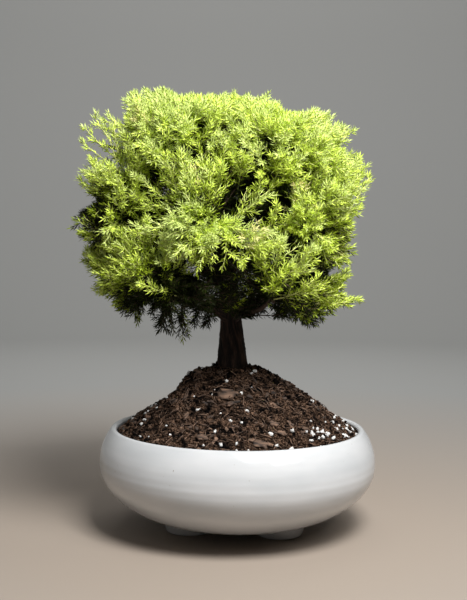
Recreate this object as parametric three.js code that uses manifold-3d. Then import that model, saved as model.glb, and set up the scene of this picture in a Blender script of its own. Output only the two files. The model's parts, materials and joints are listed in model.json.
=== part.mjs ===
// A dwarf golden cypress grown as a bonsai. One upright trunk stands on a mound of potting soil in a
// white glazed bowl with three feet, and carries boughs that end in dense masses of needle sprays.
// Millimetres, +Z up, seen from -Y. The origin is under the middle of the whole plant, on the table.
import * as THREE from 'three';
import { mergeVertices } from 'three/addons/utils/BufferGeometryUtils.js';
import Module from 'manifold-3d';

const wasm = await Module();
wasm.setup();

// Driving dimensions of the bowl
const CLEARANCE = 0.3; // air between two pieces that meet
const BOWL_SEGMENTS = 36;
const UNDERSIDE_HEIGHT = 6; // the bowl's flat underside above the table
const UNDERSIDE_RADIUS = 30;
const BELLY_RADIUS = 99.6;
const BELLY_HEIGHT = 48;
const SHOULDER_ARC = 38.5; // radius of the wall's curve from belly to lip
const SHOULDER_SWEEP = THREE.MathUtils.degToRad(38.5);
const WALL = 4.8;
const FLOOR_THICKNESS = 5.5;
const OUTER_STEPS = [7, 3]; // facets of the wall's curve below and above the belly
const INNER_STEPS = [4, 2];
const LIP_STEPS = 5;

// The three feet
const FOOT_COUNT = 3;
const FOOT_CIRCLE = 37;
const FOOT_FIRST_AZIMUTH = 54; // degrees from the front towards the right
const FOOT_BOTTOM_RADIUS = 16.5;
const FOOT_TOP_RADIUS = 22;
const FOOT_SEGMENTS = 18;
const FOOT_ROUND = 1.2;
const FOOT_STUB = 18; // height before it is cut to the bowl

// The soil
const SOIL_EDGE_DROP = 1.4; // how far the soil's edge lies below the top of the wall's inside
const GROUND_HEIGHT = 115.3; // the mound's flat top, where the trunk rises
const GROUND_RADIUS = 15.5;
const MOUND_RINGS = 7;
const MOUND_UNEVEN = 1.6;
const SHOULDER_X = -35; // a heap of soil on the left of the mound
const SHOULDER_Y = -4;
const SHOULDER_RISE = 8;
const SHOULDER_SPREAD = 15;

// The trunk
const TRUNK_X = -4.3;
const TRUNK_RADIUS = 7.7; // just under the crown
const TRUNK_TIP_RADIUS = 2.4;
const TRUNK_FLARE = 3.1; // added at the ground
const FLARE_HEIGHT = 30;
const TRUNK_HEIGHT = 138;
const TRUNK_LEAN = -8; // the tip's offset to the left
const TRUNK_SWAY = 3;
const TAPER_START = 0.18; // share of the height where the trunk begins to thin
const ROOT_LOBES = 5;
const LOBE_DEPTH = 0.28;
const TRUNK_SIDES = 12;
const TRUNK_RINGS = 12;

// The crown: an envelope filled by tiers of masses round the trunk, heights above the ground
const CROWN_X = -8; // middle of the crown from the trunk's foot
const CROWN_HALF_WIDTH = 112;
const CROWN_HALF_DEPTH = 104;
const CROWN_MIDDLE = 114;
const CROWN_HALF_HEIGHT = 87;
const CROWN_SQUARENESS = 3; // 2 is an ellipsoid, more is blockier
const CROWN_TILT = 5; // how much higher the left side stands
const TIERS = [
  { name: 'low', count: 5, height: 60, reach: 63, size: 45, turn: 36, fork: 36, bough: 3.3, shift: -3 },
  { name: 'middle', count: 6, height: 106, reach: 70, size: 46, turn: 0, fork: 62, bough: 3.0, shift: -7 },
  { name: 'upper', count: 5, height: 153, reach: 58, size: 46, turn: 36, fork: 96, bough: 2.5, shift: 6 },
];
const TIER_STAGGER = 4; // neighbours in a tier stand this much higher and lower in turn
const CROWN_TOP = { height: 172, size: 36 };
const LEFT_TIP = { height: 158, reach: 92, size: 30, azimuth: -92, fork: 110, bough: 2.0 };

// Boughs and the twigs and sprays of one mass
const BOUGH_SIDES = 6;
const BOUGH_RINGS = 3;
const BOUGH_TAPER = 0.6;
const BOUGH_ARCH = 0.16; // rise of the bough's middle, as a share of its length
const MASS_ENTRY = 0.7; // where a bough ends, as a share of the mass's reach from its middle
const STEM_SIDES = 5;
const CORE_SHARE = 0.62; // of the mass's size
const TUFT_LEAST = 0.74; // how far the core's tufts stand out, as shares of the mass's reach
const TUFT_MOST = 0.97;
const TWIG_COUNT = 8;
const TWIG_RADIUS = 1.3;
const TWIG_TAPER = 0.6;
const TWIG_SIDES = 3;
const TWIG_LIFT = 0.12;
const SPRAY_NEEDLES = 6;
const SPRAY_LENGTH = 0.45; // of the mass's size
const SPRAY_THICKNESS = 0.07; // of the spray's length
const SPRAY_HEART = 0.42; // where its needles part, from its root
const SPRAY_FORWARDS = 0.16; // how much longer the needles are towards its tip
const SPRAY_NOTCH = 0.2; // how far the notches between needles lie from the heart
const DRAWN_IN = [0.99, 0.93, 0.87, 0.81]; // shares of its reach at which a spray is tried in turn
const SIDE_ROOT = 0.6; // where the side spray leaves the twig, as a share of the mass's reach
const SPRAY_SIDE_ANGLE = THREE.MathUtils.degToRad(52);
const SPACE_MARGIN = 0.4; // each mass keeps this far inside its own space
const GOLDEN_ANGLE = Math.PI * (3 - Math.sqrt(5));
const CROWN_SEED = 7;

const glaze = new THREE.MeshStandardMaterial({ color: 0xe9ebee, roughness: 0.22, metalness: 0 });
const soilMatter = new THREE.MeshStandardMaterial({ color: 0x33261d, roughness: 0.95, metalness: 0 });
const bark = new THREE.MeshStandardMaterial({ color: 0x4a3426, roughness: 0.9, metalness: 0 });
const foliage = new THREE.MeshStandardMaterial({ color: 0x9bb83a, roughness: 0.6, metalness: 0 });

// A repeatable stream of numbers from 0 to 1
function seeded(seed) {
  let state = (seed * 2654435761) >>> 0;
  return () => {
    state = (state * 1664525 + 1013904223) >>> 0;
    return state / 4294967296;
  };
}

// A closed three.js geometry as a solid that can be joined and cut
function solidOf(geometry) {
  const bare = geometry.clone();
  bare.deleteAttribute('normal');
  bare.deleteAttribute('uv');
  const merged = mergeVertices(bare, 1e-4);
  return new wasm.Manifold(
    new wasm.Mesh({
      numProp: 3,
      vertProperties: merged.getAttribute('position').array,
      triVerts: new Uint32Array(merged.index.array),
    }),
  );
}

function geometryOf(solid) {
  const { vertProperties, triVerts } = solid.getMesh();
  const geometry = new THREE.BufferGeometry();
  geometry.setAttribute('position', new THREE.BufferAttribute(vertProperties, 3));
  geometry.setIndex(new THREE.BufferAttribute(triVerts, 1));
  geometry.computeVertexNormals();
  return geometry;
}

// The largest body of a fused solid: loose scraps are dropped and sealed hollows filled
function largestBody(solid) {
  return solid.decompose().reduce((best, body) => (body.volume() > best.volume() ? body : best));
}

function named(name, geometry, material) {
  const mesh = new THREE.Mesh(geometry, material);
  mesh.name = name;
  return mesh;
}

// Points of an elliptical arc in a lathe profile, x outwards and y up
function arc(x, y, radiusX, radiusY, from, to, steps) {
  return Array.from({ length: steps + 1 }, (_, i) => {
    const angle = from + ((to - from) * i) / steps;
    return new THREE.Vector2(x + radiusX * Math.cos(angle), y + radiusY * Math.sin(angle));
  });
}

function lathe(profile, segments) {
  return new THREE.LatheGeometry(profile, segments).rotateX(Math.PI / 2);
}

// The bowl's wall from underside to lip, moved inwards by inset and up by lift at the underside
function wallProfile(inset, lift, [lowSteps, highSteps]) {
  const drop = BELLY_HEIGHT - UNDERSIDE_HEIGHT - lift;
  const width = BELLY_RADIUS - UNDERSIDE_RADIUS - inset;
  const low = arc(UNDERSIDE_RADIUS, BELLY_HEIGHT, width, drop, -Math.PI / 2, 0, lowSteps);
  const round = SHOULDER_ARC - inset;
  const high = arc(BELLY_RADIUS - SHOULDER_ARC, BELLY_HEIGHT, round, round, 0, SHOULDER_SWEEP, highSteps);
  return [...low, ...high.slice(1)];
}

function bowl() {
  const outer = wallProfile(0, 0, OUTER_STEPS);
  const inner = wallProfile(WALL, FLOOR_THICKNESS, INNER_STEPS).reverse();
  const lipCircle = SHOULDER_ARC - WALL / 2;
  const lipX = BELLY_RADIUS - SHOULDER_ARC + lipCircle * Math.cos(SHOULDER_SWEEP);
  const lipY = BELLY_HEIGHT + lipCircle * Math.sin(SHOULDER_SWEEP);
  const lipEnd = SHOULDER_SWEEP + Math.PI;
  const lip = arc(lipX, lipY, WALL / 2, WALL / 2, SHOULDER_SWEEP, lipEnd, LIP_STEPS).slice(1, -1);
  const bottom = new THREE.Vector2(0, UNDERSIDE_HEIGHT);
  const floor = new THREE.Vector2(0, UNDERSIDE_HEIGHT + FLOOR_THICKNESS);
  return geometryOf(solidOf(lathe([bottom, ...outer, ...lip, ...inner, floor], BOWL_SEGMENTS)));
}

// A squat round stub at the right-hand side, cut to the bowl's underside
function foot() {
  const profile = [
    new THREE.Vector2(0, 0),
    new THREE.Vector2(FOOT_BOTTOM_RADIUS - FOOT_ROUND, 0),
    new THREE.Vector2(FOOT_BOTTOM_RADIUS, FOOT_ROUND),
    new THREE.Vector2(FOOT_TOP_RADIUS, UNDERSIDE_HEIGHT),
    new THREE.Vector2(FOOT_TOP_RADIUS, FOOT_STUB),
    new THREE.Vector2(0, FOOT_STUB),
  ];
  const stub = solidOf(lathe(profile, FOOT_SEGMENTS).translate(FOOT_CIRCLE, 0, 0));
  const under = wallProfile(-CLEARANCE, -CLEARANCE, OUTER_STEPS);
  const closed = [new THREE.Vector2(0, under[0].y), ...under, new THREE.Vector2(0, under.at(-1).y)];
  return geometryOf(largestBody(stub.subtract(solidOf(lathe(closed, BOWL_SEGMENTS)))));
}

// Unevenness of the mound: broad lumps that fade out at its edge and under the trunk, and a shoulder
function moundLump(x, y, share) {
  const angle = Math.atan2(y, x);
  const broad = Math.sin(2 * angle + 1.1);
  const narrow = 0.6 * Math.sin(5 * angle + 4 * share) + 0.5 * Math.sin(3 * angle - 6 * share);
  const away = Math.hypot(x - SHOULDER_X, y - SHOULDER_Y) / SHOULDER_SPREAD;
  const lumps = MOUND_UNEVEN * (broad + narrow) * Math.sin(Math.PI * share);
  return lumps + SHOULDER_RISE * Math.exp(-(away ** 2));
}

function soil() {
  const buried = wallProfile(WALL + CLEARANCE, FLOOR_THICKNESS + CLEARANCE, INNER_STEPS);
  const edge = buried.pop();
  edge.y -= SOIL_EDGE_DROP;
  const topHeight = GROUND_HEIGHT - CLEARANCE;
  const mound = Array.from({ length: MOUND_RINGS }, (_, i) => {
    const share = (i + 1) / MOUND_RINGS;
    return new THREE.Vector2(
      THREE.MathUtils.lerp(edge.x, GROUND_RADIUS, share),
      THREE.MathUtils.lerp(edge.y, topHeight, share),
    );
  });
  const bottom = new THREE.Vector2(0, buried[0].y);
  const top = new THREE.Vector2(0, topHeight);
  const geometry = lathe([bottom, ...buried, edge, ...mound, top], BOWL_SEGMENTS);
  const place = geometry.getAttribute('position');
  for (let i = 0; i < place.count; i++) {
    const share = (place.getZ(i) - edge.y) / (topHeight - edge.y);
    if (share <= 0 || share >= 1) continue;
    place.setZ(i, place.getZ(i) + moundLump(place.getX(i), place.getY(i), share));
  }
  return geometryOf(solidOf(geometry));
}

// A round limb along a curve. radiusAt takes the share of the way up and the angle round the limb.
function limb(curve, radiusAt, sides, rings) {
  const geometry = new THREE.CylinderGeometry(1, 1, 1, sides, rings);
  const place = geometry.getAttribute('position');
  const chord = curve.getPoint(1).sub(curve.getPoint(0)).normalize();
  const guide = Math.abs(chord.x) < 0.7 ? new THREE.Vector3(1, 0, 0) : new THREE.Vector3(0, 1, 0);
  const point = new THREE.Vector3();
  for (let i = 0; i < place.count; i++) {
    const share = place.getY(i) + 0.5;
    const [x, z] = [place.getX(i), place.getZ(i)];
    const along = curve.getTangent(share);
    const across = guide.clone().addScaledVector(along, -guide.dot(along)).normalize();
    const over = new THREE.Vector3().crossVectors(across, along);
    const radius = radiusAt(share, Math.atan2(z, x));
    point.copy(curve.getPoint(share)).addScaledVector(across, x * radius).addScaledVector(over, z * radius);
    place.setXYZ(i, point.x, point.y, point.z);
  }
  return solidOf(geometry);
}

// The trunk's line: upright at the ground, then leaning over to the left and back
const trunkCurve = new THREE.CubicBezierCurve3(
  new THREE.Vector3(0, 0, 0),
  new THREE.Vector3(0, 0, TRUNK_HEIGHT / 3),
  new THREE.Vector3(TRUNK_LEAN, TRUNK_SWAY, (TRUNK_HEIGHT * 2) / 3),
  new THREE.Vector3(TRUNK_LEAN, -TRUNK_SWAY, TRUNK_HEIGHT),
);

// The trunk's radius: an even taper, and a flare at the ground that spreads in five root lobes
function trunkRadius(share, angle) {
  const height = share * TRUNK_HEIGHT;
  const thinned = Math.max(0, share - TAPER_START) / (1 - TAPER_START);
  const taper = THREE.MathUtils.lerp(TRUNK_RADIUS, TRUNK_TIP_RADIUS, thinned);
  const spread = Math.max(0, 1 - height / FLARE_HEIGHT);
  const lobes = 1 + LOBE_DEPTH * spread * Math.sin(ROOT_LOBES * angle);
  return taper + TRUNK_FLARE * spread * lobes;
}

function trunk(extra = 0) {
  return limb(trunkCurve, (share, angle) => trunkRadius(share, angle) + extra, TRUNK_SIDES, TRUNK_RINGS);
}

// The crown's envelope, a blocky ball that stands a little higher on the left
function inEnvelope(point) {
  const x = (point.x - CROWN_X) / CROWN_HALF_WIDTH;
  const round = Math.hypot(x, point.y / CROWN_HALF_DEPTH);
  const high = Math.abs(point.z - CROWN_MIDDLE + CROWN_TILT * x) / CROWN_HALF_HEIGHT;
  return round ** CROWN_SQUARENESS + high ** CROWN_SQUARENESS < 1;
}

// Where a mass sits, by its direction from the front, its reach from the crown's middle and its height
function massAt(name, azimuth, reach, height, size) {
  const angle = THREE.MathUtils.degToRad(azimuth);
  const middle = new THREE.Vector3(
    CROWN_X + reach * Math.sin(angle),
    -reach * Math.cos(angle),
    height - CROWN_TILT * Math.sin(angle),
  );
  return { name, middle, size };
}

function crownLayout() {
  const masses = TIERS.flatMap((tier) =>
    Array.from({ length: tier.count }, (_, i) => {
      const stagger = i % 2 ? TIER_STAGGER : -TIER_STAGGER;
      const azimuth = tier.turn + (360 * i) / tier.count;
      const mass = massAt(`${tier.name}_${i + 1}`, azimuth, tier.reach, tier.height + stagger, tier.size);
      mass.middle.x += tier.shift;
      return { ...mass, fork: tier.fork + stagger, bough: tier.bough };
    }),
  );
  const { azimuth, reach, height, size, fork, bough: thickness } = LEFT_TIP;
  masses.push({ ...massAt('left_tip', azimuth, reach, height, size), fork, bough: thickness });
  masses.push(massAt('top', 0, 0, CROWN_TOP.height, CROWN_TOP.size));
  return masses;
}

// A bough leaves the trunk at its fork, arches upwards and ends where it enters its mass
function boughCurve(mass, masses) {
  const from = trunkCurve.getPoint(mass.fork / TRUNK_HEIGHT);
  const inwards = from.clone().sub(mass.middle).normalize();
  const to = mass.middle.clone().addScaledVector(inwards, ownReach(mass, masses, inwards) * MASS_ENTRY);
  const rise = from.distanceTo(to) * BOUGH_ARCH;
  const bend = from.clone().lerp(to, 0.5).add(new THREE.Vector3(0, 0, rise));
  return new THREE.QuadraticBezierCurve3(from, bend, to);
}

function bough(mass, extra = 0) {
  const radius = (share) => mass.bough * THREE.MathUtils.lerp(1, BOUGH_TAPER, share) + extra;
  return limb(mass.path, radius, BOUGH_SIDES, BOUGH_RINGS);
}

// The room that a bough takes up with the air kept round it and beyond its tip
function boughRoom(mass) {
  const tipRadius = mass.bough * BOUGH_TAPER + CLEARANCE;
  const from = mass.entry.clone().addScaledVector(mass.outwards, -1);
  const to = mass.entry.clone().addScaledVector(mass.outwards, CLEARANCE);
  return bough(mass, CLEARANCE).add(limb(new THREE.LineCurve3(from, to), () => tipRadius, BOUGH_SIDES, 1));
}

// True where a point is in a mass's own space: its ball, inside the crown's envelope and on its own side
// of every neighbour
function ownsPoint(mass, masses, point) {
  const own = point.distanceToSquared(mass.middle) - mass.size ** 2;
  if (own > 0 || !inEnvelope(point)) return false;
  return masses.every((other) => {
    if (other === mass) return true;
    const theirs = point.distanceToSquared(other.middle) - other.size ** 2;
    return (theirs - own) / (2 * mass.middle.distanceTo(other.middle)) > SPACE_MARGIN;
  });
}

// How far a mass's own space reaches from its middle in one direction
function ownReach(mass, masses, direction) {
  const point = new THREE.Vector3();
  let [inside, outside] = [0, mass.size];
  while (outside - inside > 0.1) {
    const trial = (inside + outside) / 2;
    point.copy(mass.middle).addScaledVector(direction, trial);
    if (ownsPoint(mass, masses, point)) inside = trial;
    else outside = trial;
  }
  return inside;
}

// True where a neighbour's space begins at the edge of a mass's own, so that nothing shows there
function meetsNeighbour(mass, masses, direction, reach) {
  const beyond = mass.middle.clone().addScaledVector(direction, reach + 6 * SPACE_MARGIN);
  return masses.some((other) => other !== mass && ownsPoint(other, masses, beyond));
}

// A spray of needles: a two-ring ball is a double pyramid, whose waist becomes the toothed outline and
// whose poles give the thickness. The root tooth points back along the rib.
function spray(root, direction, roll, length) {
  const geometry = new THREE.SphereGeometry(1, 2 * SPRAY_NEEDLES, 2);
  const place = geometry.getAttribute('position');
  const side = new THREE.Vector3(-direction.y, direction.x, 0.05).cross(direction).normalize();
  side.applyAxisAngle(direction, roll);
  const face = new THREE.Vector3().crossVectors(direction, side);
  const heart = root.clone().addScaledVector(direction, length * SPRAY_HEART);
  const point = new THREE.Vector3();
  for (let i = 0; i < place.count; i++) {
    const angle = Math.atan2(place.getZ(i), place.getX(i));
    const waist = Math.hypot(place.getX(i), place.getZ(i)) > 0.5;
    const tooth = Math.round((angle * SPRAY_NEEDLES) / Math.PI) % 2 === 0;
    const forwards = 0.5 + 0.5 * Math.cos(angle);
    const reach = waist ? length * (tooth ? SPRAY_HEART + SPRAY_FORWARDS * forwards : SPRAY_NOTCH) : 0;
    const thick = waist ? 0 : Math.sign(place.getY(i)) * length * SPRAY_THICKNESS;
    point.copy(heart).addScaledVector(direction, reach * Math.cos(angle));
    point.addScaledVector(side, -reach * Math.sin(angle)).addScaledVector(face, thick);
    place.setXYZ(i, point.x, point.y, point.z);
  }
  return solidOf(geometry);
}

function verticesOf(solid) {
  const { vertProperties } = solid.getMesh();
  const count = vertProperties.length / 3;
  return Array.from({ length: count }, (_, i) => new THREE.Vector3().fromArray(vertProperties, 3 * i));
}

// The dense heart of a mass: a ball that follows its space, with a pointed tuft on each face, cut clear of
// the limbs
function core(mass, masses, random, limbsClear) {
  const ball = new THREE.IcosahedronGeometry(1, 1).deleteAttribute('normal').deleteAttribute('uv');
  const faces = mergeVertices(ball, 1e-4);
  const spokes = Array.from({ length: faces.getAttribute('position').count }, (_, i) =>
    new THREE.Vector3().fromBufferAttribute(faces.getAttribute('position'), i),
  );
  const corners = spokes.map((spoke) => {
    const least = Math.min(mass.size * CORE_SHARE, ownReach(mass, masses, spoke) * 0.97);
    return spoke.clone().multiplyScalar(least);
  });
  const index = [];
  for (let i = 0; i < faces.index.count; i += 3) {
    const [a, b, c] = [0, 1, 2].map((k) => faces.index.getX(i + k));
    const tuft = spokes[a].clone().add(spokes[b]).add(spokes[c]).normalize();
    const reach = ownReach(mass, masses, tuft);
    if (meetsNeighbour(mass, masses, tuft, reach)) {
      index.push(a, b, c);
      continue;
    }
    corners.push(tuft.multiplyScalar(reach * THREE.MathUtils.lerp(TUFT_LEAST, TUFT_MOST, random())));
    const top = corners.length - 1;
    index.push(a, b, top, b, c, top, c, a, top);
  }
  const geometry = new THREE.BufferGeometry().setFromPoints(corners.map((corner) => corner.add(mass.middle)));
  geometry.setIndex(index);
  return largestBody(solidOf(geometry).subtract(limbsClear));
}

// Directions of a mass's twigs: an even spiral over the ball, lifted towards the light
function twigDirections(random) {
  return Array.from({ length: TWIG_COUNT }, (_, i) => {
    const cosine = 1 - (2 * (i + 0.5)) / TWIG_COUNT;
    const sine = Math.sqrt(1 - cosine ** 2);
    const angle = i * GOLDEN_ANGLE + random();
    const lifted = cosine + TWIG_LIFT;
    return new THREE.Vector3(sine * Math.cos(angle), sine * Math.sin(angle), lifted).normalize();
  });
}

// One mass of foliage: a stem that goes on from its bough, a dense core, and twigs that stand out of it
// with a spray at the tip and one at the side. What would leave the space or touch a limb is left out.
function foliageMass(mass, masses, index, limbsClear) {
  const random = seeded(CROWN_SEED + index);
  const start = mass.entry.clone().addScaledVector(mass.outwards, CLEARANCE);
  const onwards = start.clone().addScaledVector(mass.outwards, start.distanceTo(mass.middle) / 2);
  const stemCurve = new THREE.QuadraticBezierCurve3(start, onwards, mass.middle);
  const stem = limb(stemCurve, () => mass.stemRadius, STEM_SIDES, 2);
  const pieces = [stem, core(mass, masses, random, limbsClear)];
  const keep = (piece) => {
    const inside = verticesOf(piece).every((point) => ownsPoint(mass, masses, point));
    const fits = inside && piece.intersect(limbsClear).isEmpty();
    if (fits) pieces.push(piece);
    return fits;
  };
  for (const direction of twigDirections(random)) {
    const reach = ownReach(mass, masses, direction);
    const length = mass.size * SPRAY_LENGTH * (0.85 + 0.15 * random());
    const roll = 2 * Math.PI * random();
    if (meetsNeighbour(mass, masses, direction, reach)) continue;
    const along = (distance) => mass.middle.clone().addScaledVector(direction, distance);
    const tipReach = DRAWN_IN.map((share) => reach * share).find((tip) =>
      keep(spray(along(tip - length), direction, roll, length)),
    );
    if (tipReach === undefined) continue;
    const heart = along(tipReach - length * (1 - SPRAY_HEART));
    const twigRadius = (share) => TWIG_RADIUS * THREE.MathUtils.lerp(1, TWIG_TAPER, share);
    keep(limb(new THREE.LineCurve3(mass.middle, heart), twigRadius, TWIG_SIDES, 1));
    const lean = new THREE.Vector3(0, 0, 1).cross(direction).normalize().applyAxisAngle(direction, roll);
    const aside = direction.clone().applyAxisAngle(lean, SPRAY_SIDE_ANGLE);
    DRAWN_IN.find((share) => keep(spray(along(reach * SIDE_ROOT * share), aside, roll + 1, length)));
  }
  return geometryOf(largestBody(wasm.Manifold.union(pieces)));
}

function pot() {
  const group = new THREE.Group();
  group.add(named('bowl', bowl(), glaze), named('soil', soil(), soilMatter));
  const places = ['front_right', 'back', 'front_left'];
  for (let i = 0; i < FOOT_COUNT; i++) {
    const one = named(`foot_${places[i]}`, foot(), glaze);
    one.rotation.z = THREE.MathUtils.degToRad(FOOT_FIRST_AZIMUTH - 90 + (360 * i) / FOOT_COUNT);
    group.add(one);
  }
  return group;
}

function tree() {
  const group = new THREE.Group();
  group.position.set(TRUNK_X, 0, GROUND_HEIGHT);
  const masses = crownLayout();
  const trunkClear = trunk(CLEARANCE);
  let limbsClear = trunkClear;
  group.add(named('trunk', geometryOf(trunk()), bark));
  for (const mass of masses) {
    if (mass.bough) {
      mass.path = boughCurve(mass, masses);
      mass.entry = mass.path.getPoint(1);
      mass.outwards = mass.path.getTangent(1);
      mass.stemRadius = mass.bough * BOUGH_TAPER;
      group.add(named(`bough_${mass.name}`, geometryOf(largestBody(bough(mass).subtract(trunkClear))), bark));
      limbsClear = limbsClear.add(boughRoom(mass));
    } else {
      mass.entry = trunkCurve.getPoint(1);
      mass.outwards = trunkCurve.getTangent(1);
      mass.stemRadius = TRUNK_TIP_RADIUS;
    }
  }
  masses.forEach((mass, index) => {
    group.add(named(`foliage_${mass.name}`, foliageMass(mass, masses, index, limbsClear), foliage));
  });
  return group;
}

const plant = new THREE.Group();
plant.add(pot(), tree());
plant.updateMatrixWorld(true);
const middle = new THREE.Box3().setFromObject(plant, true).getCenter(new THREE.Vector3());
plant.position.set(-middle.x, -middle.y, 0);

const part = new THREE.Group();
part.add(plant);
export default part;
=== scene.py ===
import itertools
import json
import math
from typing import NamedTuple

import bpy
import numpy as np
from bpy.props import FloatProperty, FloatVectorProperty, IntProperty, PointerProperty
from mathutils import Matrix, Vector

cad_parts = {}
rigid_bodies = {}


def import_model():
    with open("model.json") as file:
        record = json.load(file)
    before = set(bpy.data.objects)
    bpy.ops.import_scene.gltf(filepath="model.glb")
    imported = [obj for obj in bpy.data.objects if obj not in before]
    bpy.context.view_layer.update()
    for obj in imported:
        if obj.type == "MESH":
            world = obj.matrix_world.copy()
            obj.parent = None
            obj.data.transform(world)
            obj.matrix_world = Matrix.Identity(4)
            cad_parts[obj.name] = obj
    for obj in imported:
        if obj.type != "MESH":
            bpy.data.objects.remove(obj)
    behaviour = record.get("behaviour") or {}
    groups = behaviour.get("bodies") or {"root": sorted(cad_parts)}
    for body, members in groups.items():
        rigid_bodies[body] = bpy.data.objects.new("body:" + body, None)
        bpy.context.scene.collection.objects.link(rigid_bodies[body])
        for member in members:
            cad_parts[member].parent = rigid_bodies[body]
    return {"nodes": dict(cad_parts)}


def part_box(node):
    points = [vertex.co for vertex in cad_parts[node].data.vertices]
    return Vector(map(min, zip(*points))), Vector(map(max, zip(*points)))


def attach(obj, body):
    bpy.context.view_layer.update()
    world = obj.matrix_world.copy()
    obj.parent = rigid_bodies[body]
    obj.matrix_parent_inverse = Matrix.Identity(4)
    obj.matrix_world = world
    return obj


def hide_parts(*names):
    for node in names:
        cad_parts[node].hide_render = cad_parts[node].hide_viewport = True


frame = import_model()

bl_info = {
    "name": "Golden cypress bonsai",
    "version": (1, 0, 0),
    "blender": (4, 5, 0),
    "location": "3D View > Sidebar > Bonsai",
    "description": "A dwarf golden cypress on a mound of soil in a white glazed bowl",
    "category": "Add Mesh",
}

# Rows of the tables

class Tier(NamedTuple):
    """A ring of foliage masses in millimetres and degrees: their number, height, reach, ball size and turn,
    their limbs' fork and radius, and how far the ring is shifted sideways."""
    name: str
    count: int
    height: float
    reach: float
    size: float
    turn: float
    fork: float
    limb: float
    shift: float


class Growth(NamedTuple):
    """How side twigs grow: first and last share of the parent and its jitter, opening in degrees at the
    parent's foot and tip, the last one's length as a factor, the range of lengths, and the least length
    kept."""
    shares: tuple
    jitter: tuple
    opening: tuple
    taper: float
    lengths: tuple
    least: float


class NeedleKind(NamedTuple):
    """Needles on one order of twigs: number, first share of the twig, opening, and length and width as
    factors."""
    count: int
    first: float
    opening: float
    length: float
    width: float


MM = 0.001
SEED = 7
GOLDEN_TURN = math.pi * (3.0 - math.sqrt(5.0))
ANY_TURN = (0.0, 6.28)
UP = np.array([0.0, 0.0, 1.0])

# The bowl's wall, from its axis and the ground
UNDERSIDE_HEIGHT = 6.0 * MM
UNDERSIDE_RADIUS = 30.0 * MM
BELLY_RADIUS = 99.6 * MM
BELLY_HEIGHT = 48.0 * MM
SHOULDER_ARC = 38.5 * MM
SHOULDER_SWEEP = math.radians(38.5)
WALL = 4.8 * MM
FLOOR_THICKNESS = 5.5 * MM
# Ridges of turning, which climb by a pitch in one turn, and slow hills; both fade at the underside
RIDGE_SPACING = 2.6 * MM
RIDGE_PITCH = 2.0 * MM
RIDGE_FADE = 10.0 * MM
WALL_HILLS = 40.0 * MM

# The feet
FOOT_CIRCLE = 37.0 * MM
FOOT_AZIMUTHS = {"foot_front_right": 54.0, "foot_back": 174.0, "foot_front_left": 294.0}
FOOT_BOTTOM_RADIUS = 16.5 * MM
FOOT_TOP_RADIUS = 22.0 * MM
FOOT_STUB = 18.0 * MM
FOOT_ROUND = 1.6 * MM
# How far the wall goes into the bowl, and the fillet under it
FOOT_OVERLAP = 0.5 * MM
FILLET_HEIGHT = 2.5 * MM
FILLET_SPREAD = 1.6 * MM

# The mound of soil
SOIL_EDGE_RADIUS = 87.2 * MM
SOIL_EDGE_HEIGHT = 67.4 * MM
MOUND_TOP_RADIUS = 15.5 * MM
MOUND_UNEVEN = 1.6 * MM
HEAP_X = -36.0 * MM
HEAP_Y = -4.0 * MM
HEAP_RISE = 8.0 * MM
HEAP_SPREAD = 15.0 * MM
HEAP_EDGE = 6.5 * MM
COLLAR_RADIUS = 10.0 * MM
COLLAR_WIDTH = 6.0 * MM
COLLAR_RISE = 1.2 * MM
# Clods, large and small, and how far from the wall they fade
CLOD_SPACING = 7.0 * MM
SMALL_CLOD_SPACING = 2.2 * MM
CLOD_FADE = 6.0 * MM
# The skirt down the wall, in millimetres below the mound's edge
SKIRT_TOP = 2.0
SKIRT_FOOT = 8.0
# The step that a slope is measured over
SLOPE_STEP = 1.5 * MM

# The share of the perlite grains that lie in a ring along the wall
WALL_GRAINS = 0.16
# Patches of perlite: from and to which share of the grains, distance, angle from the right, half width
GRAIN_PATCHES = (
    (WALL_GRAINS, 0.25, 74, -42, 5),
    (0.25, 0.33, 79, -14, 11),
)
# Large bark chips: distance from the axis, angle from the right, half length, in millimetres and degrees
LARGE_CHIPS = (
    (38, -101, 6.4),
    (44, -96, 3.4),
    (73, -109, 3.8),
    (78, -79, 4.4),
    (63, -68, 3),
    (71, -66, 2.8),
    (69, -49, 2.6),
    (74, -83, 2.2),
    (60, 40, 5),
    (55, 120, 5.5),
    (68, 175, 4.4),
)
# The share of the bark chips that are dark
DARK_CHIPS = 0.75
# How a fibre thins towards its ends
FIBRE_TAPER = np.array([[0.7], [1.0], [1.0], [0.9], [0.4]])

# The trunk, from its foot
TRUNK_X = -4.3 * MM
TRUNK_RADIUS = 7.7 * MM
TRUNK_TIP_RADIUS = 2.4 * MM
TRUNK_FLARE = 3.1 * MM
FLARE_HEIGHT = 30.0 * MM
TRUNK_HEIGHT = 138.0 * MM
TRUNK_LEAN = -8.0 * MM
TRUNK_SWAY = 3.0 * MM
TRUNK_SINK = 2.0 * MM
TAPER_START = 0.18
ROOT_LOBES = 5
LOBE_DEPTH = 0.28
# Ridges of bark: twist along a limb, steps from limb to limb, how wide the hills go round, and their length
BARK_TWIST = 0.35
BARK_STEP = 31.7
TRUNK_RIDGES = (4.2, 16.0 * MM)
BOUGH_RIDGES = (2.6, 9.0 * MM)

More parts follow.
